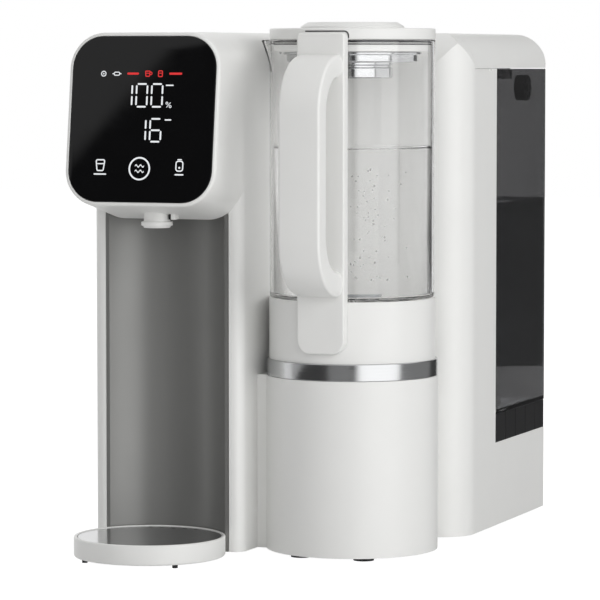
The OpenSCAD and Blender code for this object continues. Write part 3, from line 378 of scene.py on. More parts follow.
def touch_glass(tone):
    """Black-backed soda-lime glass, float-polished: a deep black that mirrors the room, with faint finger
    smears some 25 mm wide that only soften the mirror."""
    made, tree, shader, place = start_finish("black touch glass")
    smear = add(tree, "ShaderNodeTexNoise", {"Vector": place, "Scale": per_mm(25), "Detail": 4.0,
                                             "Distortion": 0.6}).outputs["Fac"]
    gloss = add(tree, "ShaderNodeMapRange", {"Value": smear, "From Min": 0.4, "From Max": 0.75,
                                             "To Min": 0.05, "To Max": 0.11})
    tint = add(tree, "ShaderNodeMix", {0: smear, 6: opaque(tone), 7: opaque(tone, 1.7)}, data_type="RGBA")
    feed(tree, shader, {"Base Color": tint.outputs[2], "Roughness": gloss.outputs[0], "IOR": 1.52})
    return made


def lit_sign(name, tone, strength):
    """A printed window lit from behind by a light-emitting diode: an even glow, a touch brighter over each
    diode, which stand about 4 mm apart."""
    made, tree, shader, place = start_finish(name)
    spots = add(tree, "ShaderNodeTexNoise", {"Vector": place, "Scale": per_mm(4), "Detail": 0.0})
    glow = add(tree, "ShaderNodeMix", {0: spots.outputs["Fac"], 6: opaque(tone, 0.86), 7: opaque(tone)},
               data_type="RGBA")
    feed(tree, shader, {"Emission Color": glow.outputs[2], "Emission Strength": strength,
                        "Base Color": (0.02, 0.02, 0.02, 1), "Roughness": 0.3})
    return made


def metal(name, tone, rough, spread, lines, depth):
    """Worked metal. Brushing or turning leaves parallel scratches, real ones under 0.1 mm and drawn as wide
    as they need to show: lines gives the pattern's size in mm along x, y and z, long along the stroke."""
    if name in bpy.data.materials:
        return bpy.data.materials[name]
    made, tree, shader, place = start_finish(name)
    laid = add(tree, "ShaderNodeMapping", {"Vector": place, "Scale": tuple(per_mm(size) for size in lines)})
    stroke = add(tree, "ShaderNodeTexNoise", {"Vector": laid.outputs[0], "Scale": 1.0, "Detail": 3.0})
    stroke = stroke.outputs["Fac"]
    gloss = add(tree, "ShaderNodeMapRange", {"Value": stroke, "From Min": 0.3, "From Max": 0.7,
                                             "To Min": rough - spread, "To Max": rough + spread})
    tint = add(tree, "ShaderNodeMix", {0: stroke, 6: opaque(tone, 0.88), 7: opaque(tone)}, data_type="RGBA")
    bump = add(tree, "ShaderNodeBump", {"Height": stroke, "Strength": depth, "Distance": 0.05 * MM})
    feed(tree, shader, {"Base Color": tint.outputs[2], "Roughness": gloss.outputs[0],
                        "Normal": bump.outputs[0], "Metallic": 1.0})
    return made


def clear_moulding(name, tone, rough, ior, ripple, depth):
    """Clear moulded plastic or still water: light passes through, and slow ripples left by the melt, given
    in mm, bend the edges seen behind it a little."""
    if name in bpy.data.materials:
        return bpy.data.materials[name]
    made, tree, shader, place = start_finish(name)
    flow = add(tree, "ShaderNodeTexNoise", {"Vector": place, "Scale": per_mm(ripple), "Detail": 1.0})
    flow = flow.outputs["Fac"]
    bump = add(tree, "ShaderNodeBump", {"Height": flow, "Strength": depth, "Distance": 0.3 * MM})
    gloss = add(tree, "ShaderNodeMapRange", {"Value": flow, "To Min": rough * 0.6, "To Max": rough * 1.4})
    tint = add(tree, "ShaderNodeMix", {0: flow, 6: opaque(tone), 7: opaque(tone, 0.985)}, data_type="RGBA")
    feed(tree, shader, {"Base Color": tint.outputs[2], "Roughness": gloss.outputs[0],
                        "Normal": bump.outputs[0], "Transmission Weight": 1.0, "IOR": ior})
    return made


def circuit_laminate():
    """Glass-epoxy board under green solder mask: copper tracks on a 2.5 mm pitch show as a lighter green."""
    made, tree, shader, place = start_finish("green circuit laminate")
    tracks = add(tree, "ShaderNodeTexBrick",
                 {"Vector": place, "Color1": opaque(linear("1F5A36")), "Color2": opaque(linear("24663D")),
                  "Mortar": opaque(linear("3F8A58")), "Scale": per_mm(2.5), "Mortar Size": 0.12,
                  "Brick Width": 2.4, "Row Height": 1.0}, offset=0.37)
    bump = add(tree, "ShaderNodeBump", {"Height": tracks.outputs["Fac"], "Strength": 0.2,
                                        "Distance": 0.04 * MM})
    feed(tree, shader, {"Base Color": tracks.outputs["Color"], "Normal": bump.outputs[0], "Roughness": 0.35})
    return made


def shell_finish():
    """Satin white ABS of the housing."""
    return moulded_plastic("satin white ABS", chosen("shell"), chosen("shell_shade"), rough=0.40)


def black_finish():
    """Black ABS of small fittings."""
    return moulded_plastic("black ABS", linear("1B1B1C"), linear("222223"), rough=0.45)


def rubber_finish():
    """Nitrile rubber, matt and a little dusty."""
    return moulded_plastic("nitrile rubber", linear("17181A"), linear("232426"), rough=0.78, grain=0.6,
                           depth=0.15)


def brushed_finish():
    """Stainless steel brushed round the ring, so the strokes run level."""
    return metal("brushed stainless steel", chosen("steel"), 0.20, 0.05, (60, 60, 0.5), 0.10)


def polished_finish():
    """Stainless steel polished almost to a mirror, with faint swirls."""
    return metal("polished stainless steel", chosen("steel"), 0.10, 0.03, (9, 9, 9), 0.02)


def satin_finish():
    """Stainless steel ground along the tray's plate, so the strokes run from side to side."""
    return metal("satin stainless steel", chosen("steel"), 0.17, 0.04, (60, 0.6, 0.6), 0.05)


def liner_finish():
    """Grey metallic-painted ABS of the bay: a soft sheen that fades down the curve."""
    tone = chosen("liner")
    return moulded_plastic("grey satin bay lining", tone, tuple(c * 0.93 for c in tone), rough=0.36,
                           depth=0.03, metallic=0.35)


def vessel_finish():
    """Clear copolyester of the pitcher."""
    return clear_moulding("clear copolyester", linear("FFFFFF"), 0.02, 1.50, 40, 0.02)


def tank_finish():
    """Smoke-tinted polycarbonate of the tank."""
    return clear_moulding("smoke-tinted polycarbonate", chosen("tank"), 0.01, 1.58, 50, 0.01)


def water_finish():
    """Clean still water."""
    return clear_moulding("still water", chosen("water"), 0.01, 1.33, 30, 0.01)


def raw_water_finish():
    """Still water in the tank, tinted grey as painted shade: clear water drawn as dark as the tank's lower
    part looks.
    """
    return clear_moulding("shaded raw water", linear("7C7E80"), 0.02, 1.33, 30, 0.01)


def bubble_finish():
    """Air in water: a skin that bends light the other way, since air has 0.75 of the water's index."""
    # The grey tint, 0.45 of the light passing each bubble, is painted shade: air itself has no colour.
    return clear_moulding("air bubble in water", (0.45, 0.45, 0.45), 0.01, 0.75, 5, 0.0)


# Lit signs stand this far off the display glass, from their foot to their top
SIGN_LOW, SIGN_HIGH = 0.01, 0.09


def lit_slab(outline):
    """A lit sign: its outline raised from the foot to the top of a sign."""
    return surface(on_face([at_height(outline, height) for height in (SIGN_LOW, SIGN_HIGH)]), capped=True)


def lit_line(outline, width):
    """A line along a closed outline: the outline is moved half the width along its normals, both ways."""
    outline = np.asarray(outline, float)
    along = np.roll(outline, -1, 0) - np.roll(outline, 1, 0)
    normal = np.stack([along[:, 1], -along[:, 0]], 1) / np.linalg.norm(along, axis=1)[:, None]
    inner, outer = outline - normal * width / 2, outline + normal * width / 2
    rows = [at_height(loop, height) for loop, height in ((inner, SIGN_LOW), (outer, SIGN_LOW),
                                                         (outer, SIGN_HIGH), (inner, SIGN_HIGH))]
    return surface(on_face(rows), close_rows=True)


def lit_bar(a, b, width, steps=6):
    """A straight sign with round ends: two half circles about its end points."""
    a, b = np.asarray(a, float), np.asarray(b, float)
    turn = math.atan2(*(b - a)[::-1])
    half = turn + np.linspace(-math.pi / 2, math.pi / 2, steps + 1)
    reach = 0.5 * width * np.stack([np.cos(half), np.sin(half)], 1)
    return lit_slab(np.vstack([b + reach, a - reach]))


def lit_disc(centre, radius):
    """A round sign."""
    return lit_slab(circle(centre, radius, 24))


def lit_wave(along, height, swing, length, width):
    """A wavy sign: a sine of the given swing and wave length, half the width above and below its line."""
    ripple = height + swing * np.sin((along - along[0]) * TAU / length)
    upper, lower = np.column_stack([along, ripple + width / 2]), np.column_stack([along, ripple - width / 2])
    return lit_slab(np.vstack([upper, lower[::-1]]))


# Bars of a seven-bar digit as ends measured from the digit's middle, and the bars that each digit lights
BARS = {
    "a": ((-2.9, 8.1), (2.9, 8.1)), "b": ((4.15, 6.6), (4.15, 1.6)), "c": ((4.15, -1.1), (4.15, -6.4)),
    "d": ((-2.9, -8.1), (2.9, -8.1)), "e": ((-4.15, -1.1), (-4.15, -6.4)), "f": ((-4.15, 6.6), (-4.15, 1.6)),
    "g": ((-2.9, 0.0), (2.9, 0.0)),
}
DIGITS = ("abcdef", "bc", "abged", "abgcd", "fgbc", "afgcd", "afgecd", "abc", "abcdefg", "abcdfg")
DIGIT_PITCH = 11.75
DIGIT_BAR = 1.2


def lit_number(value, units):
    """The bars of a number whose units digit has its middle at units."""
    shown = str(value)[::-1]
    middles = [np.array(units) - (DIGIT_PITCH * place, 0.0) for place in range(len(shown))]
    return [lit_bar(middle + BARS[bar][0], middle + BARS[bar][1], DIGIT_BAR)
            for digit, middle in zip(shown, middles) for bar in DIGITS[int(digit)]]


def face_loop(inset, depth):
    """The display face's outline, drawn in by an inset and set at a depth."""
    half = FACE_W / 2
    return on_face(soft_rectangle(-half, 0.0, half, FACE_H, FACE_CORNER, inset, FACE_STEPS), depth)


class PURIFIER_OT_head(bpy.types.Operator):
    """Head: loops run from the column's front to the leaning face, round its edge and into the glass's
    recess"""
    bl_idname = "purifier.head"
    bl_label = "Head"

    def execute(self, context):
        middle, half, low = FACE_FOOT[0], FACE_W / 2, 243.0
        back = soft_rectangle(middle - half, low, middle + half, TOP, FACE_CORNER, steps=FACE_STEPS)
        rows = [np.stack([back[:, 0], np.full(len(back), FRONT), back[:, 1]], 1)]
        # The face's edge is a quarter ellipse, edge deep and three quarters of that wide
        edge, flat = 3.0, 0.75
        rows += [face_loop(edge * (1 - math.cos(a)) * flat, -edge * (1 - math.sin(a)))
                 for a in np.linspace(0, math.pi / 2, 9)]
        recess = ((2.55, 0.0), (2.7, -0.12), (2.7, -2.0))
        rows += [face_loop(inset, depth) for inset, depth in recess]
        piece("head", [surface(rows, capped=True)], shell_finish(), "housing", ("head_shell",),
              sharp=50)
        return {"FINISHED"}


class PURIFIER_OT_display(bpy.types.Operator):
    """Touch glass with its softened edge, and the signs that light up behind it"""
    bl_idname = "purifier.display"
    bl_label = "Display"

    def execute(self, context):
        border, thick = 3.0, 2.0
        rows = [face_loop(border + inset, depth) for inset, depth in edge_steps(-thick, 0.0, 0.2, 0.45)]
        piece("display_glass_plate", [surface(rows, capped=True)], touch_glass(chosen("glass")), "housing",
              ("display_glass",), sharp=60)

        shown = context.scene.purifier_display
        signs = lit_number(shown.purity, (10.9, 79.2)) + lit_number(shown.portion, (10.9, 54.4))
        # Pour key: two waves in a ring
        signs += [lit_line(circle((-0.1, 27.0), 7.75), 1.15)]
        signs += [lit_wave(np.linspace(-3.6, 3.4, 29), height, 0.75, 3.5, 0.9) for height in (28.9, 25.1)]
        # Portion key, cartridge key and the bars under them
        portion_key = rounded([(-33.0, 25.3), (-28.2, 25.3), (-27.2, 33.0), (-34.0, 33.0)], 1.1)
        cartridge_key = soft_rectangle(28.1, 25.6, 33.3, 32.6, 1.7)
        signs += [lit_line(portion_key, 0.85), lit_bar((-32.9, 30.2), (-28.3, 30.2), 0.75),
                  lit_bar((-35.0, 22.8), (-26.2, 22.8), 1.0),
                  lit_line(cartridge_key, 0.85), lit_bar((29.4, 33.7), (32.0, 33.7), 0.8),
                  lit_disc((30.7, 27.9), 0.75), lit_bar((27.8, 23.0), (33.6, 23.0), 1.0)]
        # Percent sign, and the small bars beside the numbers
        signs += [lit_line(circle(centre, 0.75, 24), 0.5) for centre in ((18.9, 73.7), (21.5, 71.3))]
        signs += [lit_bar((18.8, 70.9), (21.6, 74.1), 0.5), lit_bar((17.9, 86.4), (23.0, 86.4), 0.9),
                  lit_bar((18.3, 61.8), (22.3, 61.8), 1.0)]
        # Ready lamp and tube lamp of the row of indicators
        signs += [lit_line(circle((-31.2, 94.6), 1.75, 32), 0.65), lit_disc((-31.2, 94.6), 0.55),
                  lit_line(soft_rectangle(-23.0, 93.5, -18.8, 95.7, 0.9), 0.65),
                  lit_bar((-24.1, 94.6), (-23.5, 94.6), 0.65), lit_bar((-18.3, 94.6), (-17.7, 94.6), 0.65)]
        white = lit_sign("white lit signs", chosen("lamp_white"), 1.0)
        piece("display_signs_white", signs, white, "housing", sharp=30)

        # Warnings: a bar, a cup with its ear, a canister, and a bar again
        cup = rounded([(1.7, 92.8), (4.5, 92.8), (4.9, 96.5), (1.3, 96.5)], 0.5)
        canister = soft_rectangle(11.4, 92.6, 14.4, 96.7, 0.7)
        warnings = [lit_bar((-12.1, 94.7), (-4.5, 94.7), 1.5),
                    lit_line(cup, 0.7), lit_line(circle((5.4, 94.9), 0.95, 24), 0.6),
                    lit_bar((2.2, 95.0), (4.1, 95.0), 0.6),
                    lit_line(canister, 0.7), lit_bar((12.2, 95.0), (13.6, 95.0), 0.6),
                    lit_bar((20.4, 94.7), (28.9, 94.7), 1.5)]
        red = lit_sign("red lit signs", chosen("lamp_red"), 1.0)
        piece("display_signs_red", warnings, red, "housing", sharp=30)
        return {"FINISHED"}


class PURIFIER_OT_nozzle(bpy.types.Operator):
    """Nozzle turned from its profile, the small latch beside it, and a black block between them as painted
    shade of the slot there
    """
    bl_idname = "purifier.nozzle"
    bl_label = "Nozzle"

    def execute(self, context):
        outline = [(3.5, 259.4), (3.5, 243.5), (7.0, 242.5), (7.2, 237.5), (9.6, 237.5), (9.9, 238.8),
                   (11.35, 239.1), (11.35, 241.9), (9.5, 242.1), (9.5, 259.4)]
        profile = rounded(outline, [0, 0.4, 0.4, 0.5, 0.8, 0.3, 0.6, 0.6, 0.8, 0])
        piece("nozzle_body", [turned(profile, NOZZLE, 72)], shell_finish(), "housing",
              ("nozzle",))
        latch = soft_block(*node_box("nozzle_latch"), 1.2, 0.7)
        piece("nozzle_side_latch", [latch], shell_finish(), "housing", ("nozzle_latch",))
        x, y = NOZZLE
        # Black block in place of the slot: painted shade where the slot's hollow would be dark
        slot_shade = soft_block((x + 10.4, y - 3.2, 243.6), (x + 12.2, y + 3.2, 250.0), 0.4, 0.2)
        piece("nozzle_slot", [slot_shade], black_finish(), "housing")
        return {"FINISHED"}


class PURIFIER_OT_pitcher(bpy.types.Operator):
    """Clear vessel: a wall turned round the stand's axis, pushed outwards along one upright line for the
    pouring lip. The push is a power of the height above the lip's foot times one of the nearness in turn"""
    bl_idname = "purifier.pitcher"
    bl_label = "Pitcher vessel"

    def execute(self, context):
        hole, wall_from, low, floor, rim = 13.0, 50.0, 186.0, 188.5, 372.0
        outline = [(hole, low), (VESSEL_R, low), (VESSEL_R, rim),
                   (VESSEL_IN, rim), (VESSEL_IN, floor), (hole, floor)]
        profile = rounded(outline, [0.3, 2.2, 1.0, 1.0, 2.0, 0.3])
        # Extra rings near the rim let the lip bend smoothly
        rise = np.linspace(344.0, 370.5, 24)
        r, z = profile.T
        outer_end = int(np.argmax((r > VESSEL_R - 0.1) & (z > rim - 2.0)))
        inner_end = int(np.argmax((r > wall_from) & (r < VESSEL_IN + 0.1) & (z < rise[0])))
        outer, inner = (np.column_stack([np.full(len(rise), radius), heights])
                        for radius, heights in ((VESSEL_R, rise), (VESSEL_IN, rise[::-1])))
        profile = np.vstack([profile[:outer_end], outer, profile[outer_end:inner_end],
                             inner, profile[inner_end:]])
        r, z = profile[:, :1], profile[:, 1:]
        a = np.arange(240) * TAU / 240
        lip_turn, lip_half, lip_low, lip_push = math.radians(215.0), 0.27, 348.0, 8.0
        off = np.abs((a - lip_turn + math.pi) % TAU - math.pi)
        climb, near = np.clip((z - lip_low) / (rim - lip_low), 0, 1), np.clip(1 - off / lip_half, 0, 1)
        r = r + np.where(r > wall_from, lip_push * climb ** 1.25 * near ** 1.35, 0.0)
        points = np.stack([STAND[0] + r * np.cos(a), STAND[1] + r * np.sin(a), z + 0 * a], -1)
        made = piece("pitcher_vessel_wall", [surface(points, close_rows=True)], vessel_finish(), "pitcher",
                     ("pitcher_vessel",), sharp=60)
        let_light_through(made)
        return {"FINISHED"}


class PURIFIER_OT_pitcher_water(bpy.types.Operator):
    """Water in the pitcher, its edge drawn up the wall, and the small bubbles in it"""
    bl_idname = "purifier.pitcher_water"
    bl_label = "Pitcher water"

    def execute(self, context):
        levels = context.scene.purifier_water
        top, low, wall = levels.pitcher / MM, 188.75, 57.25
        profile = [(0.0, low), (55.4, low), (56.6, 189.2), (wall, 190.6), (wall, top + 1.4),
                   (56.9, top + 0.9), (56.2, top + 0.45), (55.0, top + 0.15), (52.0, top), (0.0, top)]
        made = piece("pitcher_water_body", [turned(profile, STAND, 128, closed=False)], water_finish(),
                     "pitcher", sharp=50)
        let_light_through(made)

        # Bubbles: a ball of 6 rings and 8 sides repeated at seeded places, most of them right of the grip
        chance = np.random.default_rng(7)
        count = levels.bubbles
        rings, sides = np.meshgrid(np.linspace(0, math.pi, 7), np.arange(8) * TAU / 8, indexing="ij")
        ball = np.stack([np.sin(rings) * np.cos(sides), np.sin(rings) * np.sin(sides), np.cos(rings)], -1)
        sin, cos = math.sin(VIEW_TURN), math.cos(VIEW_TURN)
        leftmost, most, rightmost, foremost = -14.0, 8.0, 36.0, 38.0
        across = chance.triangular(leftmost, most, rightmost, count)
        ahead = foremost * chance.random(count)
        # Lowest above the valve, highest 11 mm under the surface, and more of them low down
        height = 201.0 + (top - 212.0) * chance.random(count) ** 1.15
        middle = np.stack([STAND[0] + across * cos + ahead * sin,
                           STAND[1] + across * sin - ahead * cos, height], -1)
        size = 0.4 + 0.55 * chance.random(count) ** 2
        points = middle[:, None, None] + size[:, None, None, None] * ball
        made = piece("pitcher_bubbles", [surface(one) for one in points], bubble_finish(), "pitcher",
                     sharp=180)
        let_light_through(made)
        return {"FINISHED"}


class PURIFIER_OT_pitcher_handle(bpy.types.Operator):
    """Handle: a plate whose back follows the vessel, and a soft bar carried round the grip's path"""
    bl_idname = "purifier.pitcher_handle"
    bl_label = "Pitcher handle"

    def execute(self, context):
        # Plate: level sections stacked in height, narrowed at the ends by the corner circles
        front, low, high, half = STAND[1] - 65.3, 149.0, 377.0, 18.0
        edge, corner, shoulder, seat = 1.4, 10.0, 3.5, 60.62
        z = np.concatenate([low + corner * (1 - np.cos(np.linspace(0, math.pi / 2, 16))),
                            np.linspace(162.0, 370.0, 20),
                            high - shoulder * (1 - np.sin(np.linspace(0, math.pi / 2, 9)))])[:, None]
        down = np.clip((low + corner - z) / corner, 0, 1)
        up = np.clip((z - high + shoulder) / shoulder, 0, 1)
        width = half - corner * (1 - np.sqrt(1 - down ** 2)) - shoulder * (1 - np.sqrt(1 - up ** 2))
        near_end = np.clip(1 - np.minimum(z - low, high - z) / edge, 0, 1)
        face = front + edge * (1 - np.sqrt(1 - near_end ** 2))
        a = np.linspace(0, math.pi / 2, 7)
        bend, drop = edge * (1 - np.cos(a)), edge * (1 - np.sin(a))
        rear = width * np.linspace(1, -1, 15)
        x = np.hstack([bend - width, (width - edge) * np.linspace(-1, 1, 9), width - bend[::-1], rear])
        y = np.hstack([face + drop, face + np.zeros(9), face + drop[::-1],
                       STAND[1] - np.sqrt(seat ** 2 - rear ** 2)])
        plate = surface(np.stack([STAND[0] + x, y, z + 0 * x], -1), capped=True)

        # Grip: the bar's middle line is a polyline with wide round corners. The bar thickens at the foot by a
        # smooth step, and spreads at both roots by an exponential of the distance from them.
        root_y, bar_y = STAND[1] - 60.65, STAND[1] - 100.5
        corners = [(root_y, 353.3), (bar_y, 353.5), (bar_y, 199.5), (root_y, 199.3)]
        even, line = evenly(rounded(corners, [0, 33.0, 33.0, 0], closed=False, steps=36), 150)
        path = np.stack([np.full(len(line), STAND[0]), line[:, 0], line[:, 1]], 1)
        fade, swell_from, swell_run = 8.0, 62.0, 40.0
        root = np.exp(-even / fade) + np.exp(-(even[-1] - even) / fade)
        foot = np.clip((even - even[-1] + swell_from) / swell_run, 0, 1)
        thick = 1.0 + 0.13 * foot * foot * (3 - 2 * foot) + 0.22 * root
        wide = 1.0 + 0.11 * root
        # The bar has crisp edges, and softer ones where it springs from the plate
        half_x, half_y = 15.5, 7.5
        crisp, soft = (soft_rectangle(-half_x, -half_y, half_x, half_y, radius, steps=8)
                       for radius in (2.0, 7.0))
        section = crisp + np.minimum(root, 1.0)[:, None, None] * (soft - crisp)
        along = np.gradient(path, axis=0)
        along /= np.linalg.norm(along, axis=1)[:, None]
        side = np.array([1.0, 0.0, 0.0])
        normal = np.cross(along, side)
        points = (path[:, None] + (wide[:, None] * section[..., 0])[..., None] * side
                  + (thick[:, None] * section[..., 1])[..., None] * normal[:, None])
        grip = surface(points, capped=True)
        piece("pitcher_handle_grip", [plate, grip], shell_finish(), "pitcher",
              ("pitcher_handle",), sharp=55)
        return {"FINISHED"}


class PURIFIER_OT_pitcher_lid(bpy.types.Operator):
    """Lid rim, raised cap, seal and steel strainer, each turned from its profile, and a dark strip of painted
    shadow where the rim meets the handle's plate
    """
    bl_idname = "purifier.pitcher_lid"
    bl_label = "Pitcher lid"

    def execute(self, context):
        white = shell_finish()
        rim = rounded([(36.4, 380.3), (60.0, 380.3), (60.0, 372.3), (56.4, 372.3), (55.6, 363.6),
                       (0.0, 363.6), (0.0, 366.0), (53.5, 366.0), (53.5, 377.6), (36.4, 377.6)],
                      [0.3, 1.4, 0.7, 0.3, 0.6, 0, 0, 0.5, 1.0, 0.3])
        piece("pitcher_lid_rim", [turned(rim, STAND, 144)], white, "pitcher_lid",
              ("pitcher_lid",))
        cap = rounded([(0.0, 377.9), (36.0, 377.9), (36.0, 380.35), (37.6, 380.35), (37.4, 381.8),
                       (32.5, 384.8), (28.5, 384.8), (25.0, 383.3), (0.0, 383.3)],
                      [0, 0.2, 0.1, 0.3, 1.2, 1.6, 0.8, 1.5, 0])
        piece("pitcher_lid_cap", [turned(cap, STAND, 120, closed=False)], white, "pitcher_lid",
              ("lid_cap",))

        # Seal: two lips round the plug; and a dark strip in the seal's rubber between the rim and the top of
        # the handle's plate, painted shadow of the gap there
        lips = [rounded([(55.9, z), (57.1, z), (57.1, z + 0.8), (55.9, z + 0.8)], [0.1, 0.3, 0.3, 0.1])
                for z in (370.1, 368.5)]
        lips = [turned(lip, STAND, 120) for lip in lips]
        bent = rounded([(-14.0, 378.0), (18.2, 378.0), (18.2, 373.0)], [0, 3.0, 0], closed=False, steps=10)
        line = evenly(bent, 60)[1]
        along, half = np.gradient(line, axis=0), 0.42
        side = half * np.stack([-along[:, 1], along[:, 0]], 1) / np.linalg.norm(along, axis=1)[:, None]
        x, z = np.stack([line + side, line - side, line - side, line + side], 1).transpose(2, 0, 1)
        reach = np.array([60.25, 60.25, 59.5, 59.5])
        gap_shadow_strip = np.stack([STAND[0] + x, STAND[1] - np.sqrt(reach ** 2 - x ** 2), z], -1)
        piece("pitcher_lid_seal", lips + [surface(gap_shadow_strip, capped=True)], rubber_finish(), "pitcher_lid",
              ("lid_gasket",))

        # Strainer: a wide band under a flange, and a cup below it with a groove under its shoulder
        outline = [(46.2, 363.4), (50.0, 363.4), (50.0, 361.8), (47.6, 361.2), (47.6, 356.8), (46.6, 356.0),
                   (29.0, 356.0), (29.0, 354.4), (27.8, 353.6), (27.8, 352.4), (29.0, 351.6), (29.0, 345.4),
                   (28.0, 344.5), (0.0, 344.5), (0.0, 346.0), (26.4, 346.0), (26.4, 357.5), (46.2, 357.5)]
        radii = [0.2, 0.5, 0.3, 0.3, 0.5, 0.4, 0.5, 0.3, 0.3, 0.3, 0.3, 0.5, 0.5, 0, 0, 0.4, 0.4, 0.3]
        steel = rounded(outline, radii)
        piece("pitcher_strainer", [turned(steel, STAND, 120)], polished_finish(), "pitcher_lid",
              ("lid_strainer",), sharp=50)
        return {"FINISHED"}


class PURIFIER_OT_tray(bpy.types.Operator):
    """Drip tray: a dish turned from its profile, with the flat tongue that slides in under the column"""
    bl_idname = "purifier.tray"
    bl_label = "Drip tray"

    def execute(self, context):
        dish = rounded([(0.0, 2.5), (54.5, 2.5), (54.5, 17.0), (51.9, 17.0), (51.9, 14.9), (48.9, 14.9),
                        (48.9, 4.5), (0.0, 4.5)], [0, 1.6, 1.1, 0.9, 0.2, 0.5, 1.5, 0], closed=False)
        x, y = TRAY
        tongue = soft_block((x - 14.0, y + 51.2, 6.3), (x + 14.0, y + 63.8, 9.3), 3.0, 0.6)
        piece("drip_tray_dish", [turned(dish, TRAY, 144, closed=False), tongue], shell_finish(), "tray",
              ("drip_tray",))
        return {"FINISHED"}


class PURIFIER_OT_ring(bpy.types.Operator):
    """Brushed ring round the stand's top: a band with rolled edges turned about the stand's axis"""
    bl_idname = "purifier.ring"
    bl_label = "Trim ring"

    def execute(self, context):
        band = rounded([(59.3, 129.7), (62.2, 129.7), (62.2, 141.95), (59.3, 141.95)], [0.3, 0.5, 0.9, 0.3])
        piece("trim_ring_band", [turned(band, STAND, 160)], brushed_finish(), "housing",
              ("trim_ring",))
        return {"FINISHED"}


class PURIFIER_OT_tank(bpy.types.Operator):
    """Smoky tank: one closed skin from the valve hole over the floor, up the inside, over the rim, down the
    outside and back under the floor, each loop a soft rectangle drawn in by its inset; and the hinge barrel
    at its rear edge"""
    bl_idname = "purifier.tank"
    bl_label = "Raw-water tank"

    def execute(self, context):
        low, floor, top = 88.0, 90.5, 350.6
        steps = ((5.0, floor), (3.2, low + 2.7), (2.5, low + 3.5), (2.5, top - 0.6), (2.1, top), (0.4, top),
                 (0.0, top - 0.5), (0.0, low + 1.2), (0.4, low + 0.35), (1.2, low))
        corners = (3, 0.6, 3, 3)
        loops = [at_height(soft_rectangle(-18.5, BACK - 126.0, RIGHT, BACK, corners, inset), z)
                 for inset, z in steps]
        middle, hole_radius = np.array([51.5, BACK - 63.0]), 13.0
        toward = loops[0][:, :2] - middle
        hole = middle + hole_radius * toward / np.linalg.norm(toward, axis=1)[:, None]
        skin = surface([at_height(hole, floor), *loops, at_height(hole, low)], close_rows=True)
        # Barrel: a wall along the rear edge that ends in a half circle round the hinge pin
        axis_y, axis_z, radius, foot = BACK - 3.0, 354.3, 2.6, 342.6
        a = np.linspace(0, math.pi, 13)
        y = np.concatenate([[BACK - 5.6, BACK - 0.4], axis_y + radius * np.cos(a)])
        z = np.concatenate([[foot, foot], axis_z + radius * np.sin(a)])
        barrel = surface([np.column_stack([np.full(len(y), x), y, z]) for x in (11.5, 91.5)], capped=True)
        made = piece("tank_wall", [skin, barrel], tank_finish(), "tank", ("tank_shell",),
                     sharp=5)
        let_light_through(made)
        return {"FINISHED"}


class PURIFIER_OT_tank_water(bpy.types.Operator):
    """Raw water in the tank: soft rectangles stacked up the tank's inside, the uppermost drawn up at its
    edge"""
    bl_idname = "purifier.tank_water"
    bl_label = "Tank water"

    def execute(self, context):
        top = context.scene.purifier_water.tank / MM
        steps = ((1.5, 90.65), (0.4, 91.0), (0.0, 92.0), (0.0, top + 1.2), (0.4, top + 0.6), (1.4, top + 0.1),
                 (4.0, top))
        corners = (2, 0.5, 0.9, 2)
        rows = [at_height(soft_rectangle(-15.85, BACK - 123.35, 118.85, BACK - 2.65, corners, inset), z)
                for inset, z in steps]
        made = piece("tank_water_body", [surface(rows, capped=True)], raw_water_finish(), "tank",
                     sharp=5)
        let_light_through(made)
        return {"FINISHED"}


class PURIFIER_OT_inside(bpy.types.Operator):
    """Gives the frame's own pieces, inside and outside, their finishes"""
    bl_idname = "purifier.inside"
    bl_label = "Frame pieces"

    def execute(self, context):
        zinc = metal("zinc-plated steel", linear("B9BCC0"), 0.32, 0.08, (6, 6, 6), 0.05)
        nylon = moulded_plastic("glass-filled nylon", linear("2A2B2D"), linear("36373A"), rough=0.55,
                                grain=1.2, depth=0.12)
        polypropylene = moulded_plastic("white polypropylene", linear("E4E6E6"), linear("DADCDD"), rough=0.48)
        acetal = moulded_plastic("grey acetal", linear("8D9092"), linear("85888A"), rough=0.38)
        tubing = moulded_plastic("polyethylene tubing", linear("DDE3E6"), linear("D2DADF"), rough=0.30,
                                 depth=0.02)
        tub = moulded_plastic("grey polypropylene tub", linear("A0A09F"), linear("989897"), rough=0.5)
        wrap = moulded_plastic("yellow polyester wrap", linear("D9B23C"), linear("CFA732"), rough=0.35,
                               grain=2.5)
        groups = {
            shell_finish(): ("base_plate", "column_housing", "rear_housing", "front_crown", "lid_deck",
                             "rear_cover", "pitcher_stand", "pitcher_collar", "tank_lid", "filter_cover"),
            black_finish(): ("power_inlet", "tank_knob", "tank_skirt", "tank_dock", "tank_valve_guide"),
            rubber_finish(): ("rubber_feet", "tray_feet"),
            satin_finish(): ("tray_plate",),
            zinc: ("case_screws", "hinge_pin", "pump_motor", "valve_plunger", "uv_module"),
            nylon: ("pump_head", "solenoid_valve"),
            polypropylene: ("filter_cartridge", "filter_head", "purity_sensor"),
            acetal: ("pump_rotor", "pitcher_valve", "tank_valve", "dock_seat"),
            tubing: ("feed_hose", "pressure_hose", "valve_hose", "pure_hose", "outlet_hose"),
            circuit_laminate(): ("control_board", "display_board"),
            wrap: ("power_supply",),
            tub: ("tank_bay",),
            liner_finish(): ("bay_liner",),
        }
        for finish, nodes in groups.items():
            for node in nodes:
                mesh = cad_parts[node].data
                mesh.materials.clear()
                mesh.materials.append(finish)
        return {"FINISHED"}


def stage_sheet(name, points, finish):
    """An open sheet of the stage over a grid of points."""
    points, quads, _ = surface(points, close_columns=False)
    mesh = bpy.data.meshes.new(name)
    mesh.from_pydata((points * MM).tolist(), [], quads.tolist())
    mesh.materials.append(finish)
    made = bpy.data.objects.new(name, mesh)
    bpy.context.scene.collection.objects.link(made)
    return made


